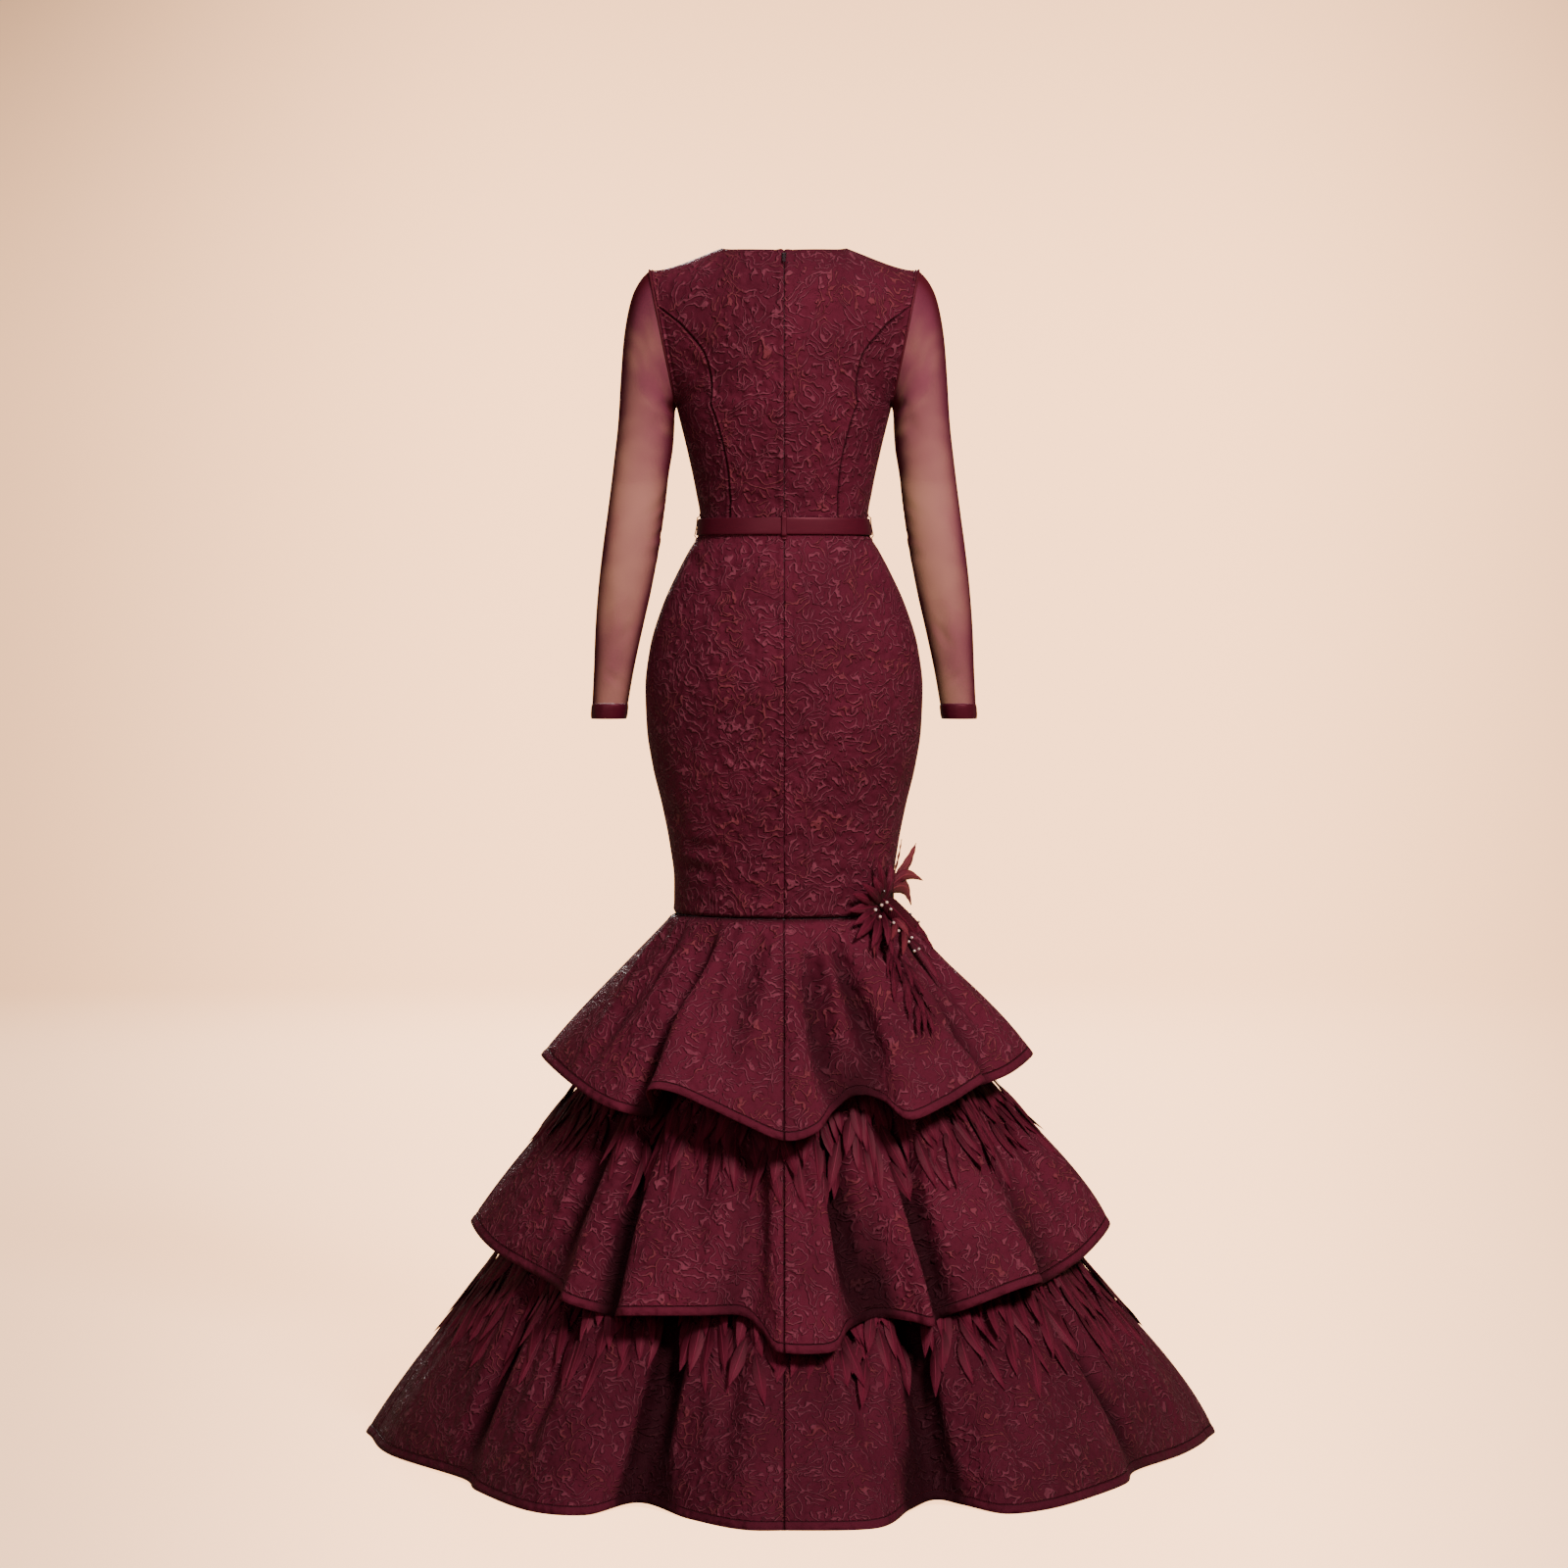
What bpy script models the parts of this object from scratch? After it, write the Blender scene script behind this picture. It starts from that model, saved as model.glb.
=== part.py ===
"""Mermaid gown in its worn, hollow form: a fitted bodice with long sheer sleeves, a skirt that hugs the
hips and thighs, and three flounces that spread below a knee seam, with feather trims between them.

Metres, +Z up. The front faces -Y, so the zip at the centre back faces +Y and the wearer's right is -X.
The origin lies between the shoulders, where the wearer carries the gown. Heights in the tables are
measured up from the floor that the lowest hem touches. A turn is an angle in degrees round the body,
from the centre back towards the wearer's right.
"""

import math
from collections import namedtuple

import bmesh
import bpy
import numpy as np
from mathutils import Matrix, Vector

# Driving sizes.
SHOULDER_HEIGHT = 1.470
UNDERARM_HEIGHT = 1.287
WAIST_HEIGHT = 1.137
KNEE_HEIGHT = 0.660
SECOND_SEAM_HEIGHT = 0.500
THIRD_SEAM_HEIGHT = 0.290
CLOTH = 0.0015
SHEER_CLOTH = 0.0010
SEAM_GAP = 0.0003

# Armhole: an oval from the underarm to the shoulder tip.
UNDERARM_REACH = 0.1325
TIP_REACH = 0.1660
TIP_HEIGHT = 1.454
ARMHOLE_HALF_DEPTH = 0.050
# The share of its quarter turn that the cloth still curves through at the armhole, and the rise it takes to
# narrow to that.
ARMHOLE_WRAP = 0.62
ARMHOLE_WRAP_RISE = 0.3

# Neckline: half an oval behind and half in front of the neck points, where the shoulder seams start.
# The shoulders' surface would close over the neck at the ridge height, and the neckline is cut from it.
NECK_REACH = 0.075
NECK_HEIGHT = 1.484
NECK_DEPTHS = {"back": 0.060, "front": 0.074}
RIDGE_HEIGHT = 1.500
# How the cloth rolls over the shoulder: the lean of its rows, how late its middle turns in towards the seam,
# and how near the armhole its rows bend to the armhole's own height.
SHOULDER_LEAN = 65
SHOULDER_ROLL = 5
ARMHOLE_PULL = 4

# Levels above the underarm run up the bodice to the neckline and shoulder seam.
UPPER_RISE = 0.180
TOP_LEVEL = UNDERARM_HEIGHT + UPPER_RISE

Ring = namedtuple("Ring", "height half_width back front")
BODY_RINGS = (
    Ring(0.660, 0.1360, 0.110, 0.106),
    Ring(0.700, 0.1357, 0.110, 0.104),
    Ring(0.744, 0.1410, 0.110, 0.102),
    Ring(0.793, 0.1505, 0.113, 0.102),
    Ring(0.841, 0.1620, 0.119, 0.103),
    Ring(0.890, 0.1695, 0.125, 0.104),
    Ring(0.939, 0.1713, 0.128, 0.104),
    Ring(0.988, 0.1655, 0.123, 0.103),
    Ring(1.037, 0.1510, 0.111, 0.101),
    Ring(1.085, 0.1295, 0.095, 0.096),
    Ring(1.110, 0.1160, 0.086, 0.092),
    Ring(1.127, 0.1060, 0.081, 0.089),
    Ring(1.148, 0.1030, 0.080, 0.087),
    Ring(1.183, 0.1085, 0.085, 0.092),
    Ring(1.232, 0.1190, 0.093, 0.110),
    Ring(1.287, 0.1325, 0.099, 0.116),
)

# The centre line of each side of the bodice above the underarm, before it rounds over the shoulder.
Centre = namedtuple("Centre", "rise back front")
UPPER_CENTRE = (
    Centre(0.00, 0.099, 0.116),
    Centre(0.25, 0.099, 0.105),
    Centre(0.50, 0.095, 0.082),
    Centre(0.75, 0.094, 0.076),
    Centre(1.00, 0.094, 0.074),
)

# Princess seams: the turn from the centre line at each level, up to where each meets the armhole.
Princess = namedtuple("Princess", "level back front")
PRINCESS_SEAMS = (
    Princess(WAIST_HEIGHT, 41.0, 40.0),
    Princess(1.207, 37.5, 42.0),
    Princess(1.252, 39.5, 45.0),
    Princess(UNDERARM_HEIGHT, 43.0, 48.0),
    Princess(UNDERARM_HEIGHT + 0.25 * UPPER_RISE, 54.0, 62.0),
    Princess(UNDERARM_HEIGHT + 0.40 * UPPER_RISE, 63.0, 75.0),
    Princess(UNDERARM_HEIGHT + 0.52 * UPPER_RISE, 72.0, 87.0),
    Princess(UNDERARM_HEIGHT + 0.64 * UPPER_RISE, 87.0, 87.0),
)
LOWER_LEVELS = (WAIST_HEIGHT, 1.148, 1.163, 1.190, 1.222, 1.255, UNDERARM_HEIGHT)
UPPER_STEPS = (0.13, 0.26, 0.40, 0.52, 0.64, 0.76, 0.88, 1.00)
PRINCESS_TOP_STEP = {"back": 0.64, "front": 0.52}
# Columns of a centre panel's half, as shares of its width. The third meets the shoulder seam at the neck point.
NECK_POINT_SHARE = 0.393
CENTRE_SHARES = (0, 0.20, NECK_POINT_SHARE, 0.55, 0.70, 0.85, 1)
SIDE_PANEL_COLUMNS = 3

SKIRT_LEVELS = (0.660, 0.700, 0.744, 0.793, 0.841, 0.890, 0.939, 0.988, 1.035, 1.075, 1.105, 1.127, 1.137)
SKIRT_QUARTER_COLUMNS = 7

# Sleeve: each ring spans from its outer point to its inner point, the first one round the armhole.
SleeveRing = namedtuple("SleeveRing", "outer outer_height inner inner_height middle half_depth")
SLEEVE_RINGS = (
    SleeveRing(0.1666, 1.4538, 0.1333, 1.2868, 0.000, 0.0500),
    SleeveRing(0.1760, 1.4440, 0.1342, 1.2830, 0.000, 0.0505),
    SleeveRing(0.1860, 1.4268, 0.1350, 1.2780, 0.000, 0.0500),
    SleeveRing(0.1930, 1.4020, 0.1353, 1.2710, 0.000, 0.0490),
    SleeveRing(0.1985, 1.3660, 0.1356, 1.2620, 0.000, 0.0475),
    SleeveRing(0.2020, 1.3200, 0.1362, 1.2500, 0.000, 0.0460),
    SleeveRing(0.2050, 1.2700, 0.1375, 1.2340, 0.001, 0.0440),
    SleeveRing(0.2115, 1.2100, 0.1420, 1.2060, 0.002, 0.0420),
    SleeveRing(0.2185, 1.1550, 0.1490, 1.1550, 0.003, 0.0400),
    SleeveRing(0.2250, 1.1080, 0.1555, 1.1080, 0.001, 0.0395),
    SleeveRing(0.2305, 1.0600, 0.1645, 1.0600, -0.003, 0.0375),
    SleeveRing(0.2345, 1.0100, 0.1760, 1.0100, -0.010, 0.0335),
    SleeveRing(0.2368, 0.9600, 0.1870, 0.9600, -0.017, 0.0290),
    SleeveRing(0.2390, 0.9185, 0.1945, 0.9185, -0.022, 0.0260),
)
SLEEVE_COLUMNS = 12
CUFF_RINGS = (
    SleeveRing(0.2396, 0.9185, 0.1939, 0.9185, -0.022, 0.0266),
    SleeveRing(0.2408, 0.9000, 0.1961, 0.9000, -0.023, 0.0260),
)

BELT_BOTTOM = 1.127
BELT_TOP = 1.148
BELT_STAND = 0.0012
BELT_THICKNESS = 0.0020
BELT_COLUMNS = 32

# Belt loops: each lies on the cloth below and above the belt, and stands off it to pass over the belt.
Loop = namedtuple("Loop", "name turn half_width")
BELT_LOOPS = (
    Loop("belt_loop_R", 90, 0.0020),
    Loop("belt_loop_L", -90, 0.0020),
    Loop("belt_keeper", 0, 0.0026),
)
LOOP_THICKNESS = 0.0010
LOOP_BODY_RADIUS = 0.090
LOOP_LOW = 0.0018
LOOP_HIGH = 0.0054
LoopRow = namedtuple("LoopRow", "height stand")
LOOP_ROWS = (
    LoopRow(BELT_BOTTOM - 0.0065, LOOP_LOW),
    LoopRow(BELT_BOTTOM - 0.0040, LOOP_LOW),
    LoopRow(BELT_BOTTOM - 0.0010, LOOP_HIGH),
    LoopRow(BELT_TOP + 0.0010, LOOP_HIGH),
    LoopRow(BELT_TOP + 0.0040, LOOP_LOW),
    LoopRow(BELT_TOP + 0.0065, LOOP_LOW),
)

# Underskirt: a plain cone inside the flounces, which the lower two are sewn to.
UNDERSKIRT_RINGS = (
    Ring(THIRD_SEAM_HEIGHT, 0.310, 0.222, 0.222),
    Ring(0.400, 0.256, 0.190, 0.190),
    Ring(SECOND_SEAM_HEIGHT, 0.205, 0.160, 0.160),
    Ring(0.580, 0.1685, 0.134, 0.132),
    Ring(0.6595, 0.1335, 0.1075, 0.1035),
)
UNDERSKIRT_COLUMNS = 12

# Flounces: the hem's folds round the body, as the turn, the reach from the body's axis and the height
# of each crest and valley.
Fold = namedtuple("Fold", "turn reach height")
TIER_1_FOLDS = (
    Fold(-90, 0.302, 0.481), Fold(-65, 0.285, 0.459), Fold(-48, 0.282, 0.439), Fold(-39, 0.252, 0.430),
    Fold(-33, 0.298, 0.466), Fold(-28, 0.283, 0.465), Fold(-19, 0.280, 0.449), Fold(-10, 0.279, 0.430),
    Fold(0, 0.280, 0.411), Fold(8, 0.2725, 0.419), Fold(14, 0.2420, 0.440), Fold(21, 0.233, 0.456),
    Fold(28, 0.246, 0.452), Fold(31.5, 0.2845, 0.431), Fold(42, 0.2885, 0.4445), Fold(51, 0.291, 0.460),
    Fold(55.5, 0.294, 0.468), Fold(62, 0.260, 0.455), Fold(74, 0.288, 0.467), Fold(90, 0.309, 0.484),
    Fold(104, 0.262, 0.462), Fold(118, 0.292, 0.449), Fold(132, 0.283, 0.436), Fold(143, 0.248, 0.446),
    Fold(156, 0.284, 0.424), Fold(168, 0.281, 0.414), Fold(180, 0.280, 0.411), Fold(194, 0.246, 0.440),
    Fold(207, 0.286, 0.430), Fold(221, 0.286, 0.440), Fold(233, 0.255, 0.455), Fold(251, 0.296, 0.466),
)
TIER_2_FOLDS = (
    Fold(-90, 0.390, 0.272), Fold(-74, 0.369, 0.2525), Fold(-52, 0.345, 0.226), Fold(-44, 0.374, 0.2185),
    Fold(-37, 0.335, 0.201), Fold(-31, 0.368, 0.210), Fold(-17, 0.339, 0.2116), Fold(-9, 0.319, 0.210),
    Fold(-4.8, 0.331, 0.196), Fold(-2.0, 0.360, 0.179), Fold(0, 0.369, 0.176), Fold(5, 0.3715, 0.175),
    Fold(9.5, 0.366, 0.178), Fold(13.4, 0.329, 0.195), Fold(20.5, 0.3116, 0.203), Fold(26.5, 0.330, 0.200),
    Fold(29.5, 0.3546, 0.196), Fold(34, 0.325, 0.198), Fold(39, 0.353, 0.213), Fold(46.6, 0.371, 0.228),
    Fold(54.4, 0.378, 0.2335), Fold(61, 0.345, 0.217), Fold(77, 0.376, 0.241), Fold(90, 0.4055, 0.272),
    Fold(104, 0.355, 0.235), Fold(117, 0.382, 0.232), Fold(130, 0.365, 0.222), Fold(140, 0.336, 0.205),
    Fold(151, 0.368, 0.200), Fold(163, 0.352, 0.196), Fold(172, 0.333, 0.203), Fold(180, 0.350, 0.190),
    Fold(188, 0.368, 0.182), Fold(199, 0.356, 0.190), Fold(210, 0.336, 0.203), Fold(222, 0.368, 0.212),
    Fold(235, 0.374, 0.226), Fold(246, 0.345, 0.235), Fold(259, 0.384, 0.262),
)
TIER_3_FOLDS = (
    Fold(-98, 0.526, 0.0), Fold(-90, 0.514, 0.0), Fold(-78, 0.491, 0.0), Fold(-57, 0.455, 0.003),
    Fold(-50, 0.470, 0.0), Fold(-36, 0.500, 0.0), Fold(-28, 0.484, 0.0), Fold(-23.5, 0.420, 0.005),
    Fold(-14, 0.4575, 0.0), Fold(-6, 0.500, 0.0), Fold(0, 0.504, 0.0), Fold(12, 0.504, 0.0),
    Fold(19, 0.440, 0.003), Fold(25, 0.413, 0.006), Fold(28, 0.440, 0.003), Fold(31, 0.490, 0.0),
    Fold(37, 0.500, 0.0), Fold(45, 0.492, 0.0), Fold(57, 0.482, 0.0), Fold(64, 0.468, 0.003),
    Fold(79, 0.497, 0.0), Fold(90, 0.529, 0.0), Fold(98, 0.541, 0.0),
    Fold(113, 0.462, 0.005), Fold(127, 0.505, 0.0), Fold(138, 0.478, 0.0), Fold(148, 0.428, 0.006),
    Fold(160, 0.500, 0.0), Fold(170, 0.490, 0.0), Fold(180, 0.462, 0.003), Fold(189, 0.430, 0.006),
    Fold(200, 0.498, 0.0), Fold(210, 0.490, 0.0), Fold(221, 0.428, 0.006), Fold(234, 0.505, 0.0),
    Fold(249, 0.458, 0.005),
)
# The ring each flounce starts from, how far each side bows outwards two thirds of the way down, how far down
# its rows of points lie, and its columns in each back quarter and across the front. A feather trim's backing
# lies between two rows.
Tier = namedtuple(
    "Tier", "folds top_height top_half_width top_depths bow_left bow_right falls columns front_columns"
)
TRIMMED_FALLS = (0, 0.16, 0.22, 0.6, 1)
TIERS = (
    Tier(TIER_1_FOLDS, KNEE_HEIGHT, 0.1360, (0.110, 0.106), 0.004, 0.009, (0, 0.33, 0.67, 1), 28, 30),
    Tier(TIER_2_FOLDS, SECOND_SEAM_HEIGHT, 0.2075, (0.1625, 0.1625), 0.006, 0.015, TRIMMED_FALLS, 32, 32),
    Tier(TIER_3_FOLDS, THIRD_SEAM_HEIGHT, 0.3100, (0.2220, 0.2220), 0.007, 0.017, TRIMMED_FALLS, 34, 36),
)
HEM_STEPS = 24
BOW_PEAK = 4 / 27

# Feather trims: locks that hang from a narrow backing on the flounce, down to the stated share of it.
FEATHER_STAND = 0.0014
FEATHER_THICKNESS = 0.0014
FEATHER_SWELL_LIFT = 0.0022
FEATHER_TIP_LIFT = 0.0040
FEATHER_SWELL_SHARE = 0.45
FEATHER_SWELL_WIDTH = 0.88
FEATHER_TIP_WIDTH = 0.12
FEATHER_TIP_THICKNESS = 0.0006
FEATHER_REACHES = (0.46, 0.55, 0.43, 0.51)

# Corsage: petals anticlockwise round a backing from the wearer's right, as the place of each tip on the cloth,
# how far it stands off it, and the petal's width.
Petal = namedtuple("Petal", "turn height stand width")
CORSAGE_PETALS = (
    Petal(73, 0.668, 0.0240, 0.010),
    Petal(75, 0.692, 0.0400, 0.012),
    Petal(75, 0.738, 0.0310, 0.013),
    Petal(68, 0.748, 0.0190, 0.004),
    Petal(53, 0.724, 0.0100, 0.012),
    Petal(45, 0.702, 0.0090, 0.013),
    Petal(37, 0.682, 0.0080, 0.014),
    Petal(35, 0.660, 0.0100, 0.013),
    Petal(40, 0.628, 0.0090, 0.013),
    Petal(50, 0.614, 0.0100, 0.012),
    Petal(59, 0.605, 0.0100, 0.010),
    Petal(68, 0.628, 0.0140, 0.010),
)
CORSAGE_TURN = 63
CORSAGE_RADIUS = 0.014
CORSAGE_TOP_RADIUS = 0.0112
CORSAGE_DEPTH = 0.005
CORSAGE_SIDES = 28
CORSAGE_STAND = 0.0105
CORSAGE_TILT = 24
PETAL_THICKNESS = 0.0012
PETAL_TIP_WIDTH = 0.0020
PETAL_TIP_THICKNESS = 0.0008
PETAL_ARCH = 0.004

TRAIL_TURN = 64
TRAIL_TOP_FALL = 0.12
TRAIL_BOTTOM_FALL = 0.37
TRAIL_HALF_TURN = 1.8
TRAIL_STAND = 0.0030
TRAIL_STEPS = 11
TRAIL_LEAF_TURN = 6.5
TRAIL_LEAF_FALL = 0.035
TRAIL_LEAF_WIDTH = 0.006
TRAIL_LEAF_STAND = 0.006
TRAIL_LEAF_ARCH = 0.0015

# Zip slider and pull tab, in the slider's own frame: X across, Y out of the cloth, Z up the zip.
ZIP_LEVEL = TOP_LEVEL - 0.012
SLIDER_SIZE = Vector((0.0050, 0.0020, 0.0080))
SLIDER_STAND = 0.0005
POST_SIZE = Vector((0.0008, 0.0026, 0.0016))
POST_REACH = 0.0021
POST_SINK = 0.0003
ROD_RADIUS = 0.00045
ROD_OUT = 0.0042
EYE_RADIUS = 0.00135
EYE_BORE = 0.00085
EYE_LENGTH = 0.0026
TAB_LENGTH = 0.0130
TAB_THICKNESS = 0.0008
TAB_WIDE = 0.0038
ROD_SIDES = 16

# Steps over which slopes are measured, as a turn and as a level, and the limits of a search for the neckline.
TURN_STEP = 0.4
LEVEL_STEP = 0.001
NEARLY_TOP = 0.999
SEARCH_STEPS = 30
SAME_PLACE = 0.000001
SHARP_ANGLE = 40


class Curve:
    """A smooth line through values that never overshoots them: its slope is nil at each peak."""

    def __init__(self, places, values):
        self.places = np.array(places, float)
        self.values = np.array(values, float)
        steps = np.diff(self.places)
        rises = np.diff(self.values) / steps
        self.slopes = np.zeros(len(self.places))
        self.slopes[0] = rises[0]
        self.slopes[-1] = rises[-1]
        for i in range(1, len(rises)):
            if rises[i - 1] * rises[i] > 0:
                before = steps[i - 1] + 2 * steps[i]
                after = 2 * steps[i - 1] + steps[i]
                self.slopes[i] = (before + after) / (before / rises[i - 1] + after / rises[i])

    def __call__(self, place):
        last = len(self.places) - 2
        i = min(max(int(np.searchsorted(self.places, place)) - 1, 0), last)
        step = self.places[i + 1] - self.places[i]
        t = min(max((place - self.places[i]) / step, 0.0), 1.0)
        ease = t * t * (3 - 2 * t)
        leaving = step * self.slopes[i] * (t**3 - 2 * t * t + t)
        arriving = step * self.slopes[i + 1] * (t**3 - t * t)
        return float(blend(self.values[i], self.values[i + 1], ease) + leaving + arriving)


def curves_of(table, key):
    """A Curve for each column of a table, by the column's name."""
    places = [getattr(row, key) for row in table]
    names = [name for name in table[0]._fields if name != key]
    return {name: Curve(places, [getattr(row, name) for row in table]) for name in names}


def blend(start, end, share):
    return start + (end - start) * share


def above_floor(x, y, height):
    """A point from its height above the floor."""
    return Vector((x, y, height - SHOULDER_HEIGHT))


def outward(turn, reach):
    """The x and y of a point this far from the body's axis."""
    return -reach * math.sin(math.radians(turn)), reach * math.cos(math.radians(turn))


class Surface:
    """A form that cloth is laid on, with a point for each turn and level. Facing is 1 where the cloth faces
    out as its turns and levels grow, or -1. A row keeps its level unless trimmed moves it."""

    facing = 1

    def trimmed(self, turn, level):
        return level


class Tube(Surface):
    """Cloth round the body through level rings."""

    def __init__(self, rings):
        self.columns = curves_of(rings, "height")

    def point(self, turn, height):
        angle = math.radians(turn)
        depth = self.columns["back" if math.cos(angle) > 0 else "front"](height)
        half_width = self.columns["half_width"](height)
        return above_floor(-half_width * math.sin(angle), depth * math.cos(angle), height)


class Bodice(Surface):
    """One side of the bodice, front or back. Its turns start at its own centre line and run to the side
    seam at 90. Above the underarm its rows end at the armhole, and they close over the shoulder."""

    def __init__(self, side):
        self.facing = 1 if side == "back" else -1
        self.centre = curves_of(UPPER_CENTRE, "rise")[side]
        self.neck_depth = NECK_DEPTHS[side]

    def point(self, turn, level):
        if level <= UNDERARM_HEIGHT:
            return BODY.point(turn if self.facing > 0 else 180 - turn, level)
        rise = (level - UNDERARM_HEIGHT) / UPPER_RISE
        wrap = blend(1.0, ARMHOLE_WRAP, min(rise / ARMHOLE_WRAP_RISE, 1.0))
        arc = math.radians(wrap * abs(turn))
        widest = math.radians(wrap * 90)
        share = math.sin(arc) / math.sin(widest)
        crown = (math.cos(arc) - math.cos(widest)) / (1 - math.cos(widest))

        climb = (1 - math.cos(math.pi * rise)) / 2
        edge_reach = blend(UNDERARM_REACH, TIP_REACH, climb)
        edge_depth = ARMHOLE_HALF_DEPTH * math.sin(math.pi * rise)
        edge_height = blend(UNDERARM_HEIGHT, TIP_HEIGHT, climb)

        depth = blend(edge_depth, self.centre(rise) * (1 - rise**SHOULDER_ROLL), crown)
        lean = math.radians(SHOULDER_LEAN)
        top_height = self.ridge(share * TIP_REACH)
        height = blend(UNDERARM_HEIGHT, top_height, math.sin(rise * lean) / math.sin(lean))
        height = blend(height, edge_height, share**ARMHOLE_PULL)
        return above_floor(-math.copysign(edge_reach * share, turn), self.facing * depth, height)

    def ridge(self, reach):
        """Height of the shoulder seam, and of the ridge that carries on from it over the neck."""
        if reach < NECK_REACH:
            return blend(RIDGE_HEIGHT, NECK_HEIGHT, (reach / NECK_REACH) ** 2)
        return blend(NECK_HEIGHT, TIP_HEIGHT, (reach - NECK_REACH) / (TIP_REACH - NECK_REACH))

    def in_neck(self, turn, rise):
        place = self.point(turn, UNDERARM_HEIGHT + rise * UPPER_RISE)
        return (place.x / NECK_REACH) ** 2 + (place.y / self.neck_depth) ** 2 < 1

    def trimmed(self, turn, level):
        """The level at which a row lies once the rows above the underarm close up under the neckline."""
        if level <= UNDERARM_HEIGHT or not self.in_neck(turn, NEARLY_TOP):
            return level
        low, high = 0.0, NEARLY_TOP
        for _ in range(SEARCH_STEPS):
            middle = (low + high) / 2
            low, high = (low, middle) if self.in_neck(turn, middle) else (middle, high)
        return UNDERARM_HEIGHT + (level - UNDERARM_HEIGHT) * low


class Flounce(Surface):
    """A flounce that falls from a level ring to a hem with folds. Each quarter of the ring carries an even
    share of its quarter of the hem. Turns pass round it, and falls run from 0 at the top to 1 at the hem."""

    facing = -1

    def __init__(self, tier):
        self.tier = tier
        self.hem = [above_floor(*outward(fold.turn, fold.reach), fold.height) for fold in tier.folds]
        starts = [i for i, fold in enumerate(tier.folds) if fold.turn in (-90, 0, 90, 180)]
        self.quarters = [self.measure(a, b) for a, b in zip(starts, starts[1:] + [starts[0] + len(self.hem)])]

    def measure(self, first, last):
        """Points along the smooth hem from one seam to the next, with their shares of its length."""
        points = []
        for i in range(first, last):
            a, b, c, d = (self.hem[(i + k) % len(self.hem)] for k in (-1, 0, 1, 2))
            for step in range(HEM_STEPS):
                t = step / HEM_STEPS
                bend = (2 * a - 5 * b + 4 * c - d) * t**2 + (3 * b - a - 3 * c + d) * t**3
                points.append(b + ((c - a) * t + bend) / 2)
        points.append(self.hem[last % len(self.hem)])
        lengths = [0.0]
        for a, b in zip(points, points[1:]):
            lengths.append(lengths[-1] + (b - a).length)
        return np.array(lengths) / lengths[-1], np.array(points)

    def hem_point(self, turn):
        quarter, share = divmod((turn + 90) % 360, 90)
        shares, points = self.quarters[int(quarter)]
        return Vector([float(np.interp(share / 90, shares, points[:, axis])) for axis in range(3)])

    def top_point(self, turn):
        angle = math.radians(turn)
        depth = self.tier.top_depths[0 if math.cos(angle) > 0 else 1]
        half_width = self.tier.top_half_width
        return above_floor(-half_width * math.sin(angle), depth * math.cos(angle), self.tier.top_height)

    def point(self, turn, fall):
        sideways = math.sin(math.radians(turn))
        most = self.tier.bow_right if sideways > 0 else self.tier.bow_left
        bow = most * sideways**2 * fall**2 * (1 - fall) / BOW_PEAK
        return self.top_point(turn).lerp(self.hem_point(turn), fall) + Vector((*outward(turn, bow), 0))


def slopes_at(surface, turn, level):
    """The directions in which the surface runs as its turn grows, and as its level does."""
    along = surface.point(turn + TURN_STEP, level) - surface.point(turn - TURN_STEP, level)
    onward = surface.point(turn, level + LEVEL_STEP) - surface.point(turn, level - LEVEL_STEP)
    return along.normalized(), onward.normalized()


def normal_at(surface, turn, level):
    """The outward normal, from the surface's own slopes, so pieces that meet at a seam share it."""
    along, onward = slopes_at(surface, turn, level)
    normal = along.cross(onward) * surface.facing
    place = surface.point(turn, level)
    if abs(place.x) < SEAM_GAP:
        normal.x = 0.0
    if abs(place.y) < SEAM_GAP:
        normal.y = 0.0
    return normal.normalized()


def raised(surface, turn, level, stand):
    return surface.point(turn, level) + normal_at(surface, turn, level) * stand


def material(name, colour, roughness, metallic=0.0):
    made = bpy.data.materials.new(name)
    made.use_nodes = True
    shader = made.node_tree.nodes["Principled BSDF"]
    shader.inputs["Base Color"].default_value = (*colour, 1.0)
    shader.inputs["Roughness"].default_value = roughness
    shader.inputs["Metallic"].default_value = metallic
    made.diffuse_color = (*colour, 1.0)
    return made


def collection(name):
    made = bpy.data.collections.new(name)
    bpy.context.scene.collection.children.link(made)
    return made


def piece(name, bm, finish, smooth=True):
    """Makes the named object from a closed bmesh whose faces it turns outwards."""
    bmesh.ops.recalc_face_normals(bm, faces=bm.faces)
    mesh = bpy.data.meshes.new(name)
    bm.to_mesh(mesh)
    bm.free()
    mesh.materials.append(finish)
    if smooth:
        mesh.shade_smooth()
        mesh.set_sharp_from_angle(angle=math.radians(SHARP_ANGLE))
    made = bpy.data.objects.new(name, mesh)
    GOWN.objects.link(made)
    return made


def edge_of(limit, level):
    return limit(level) if callable(limit) else limit


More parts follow.
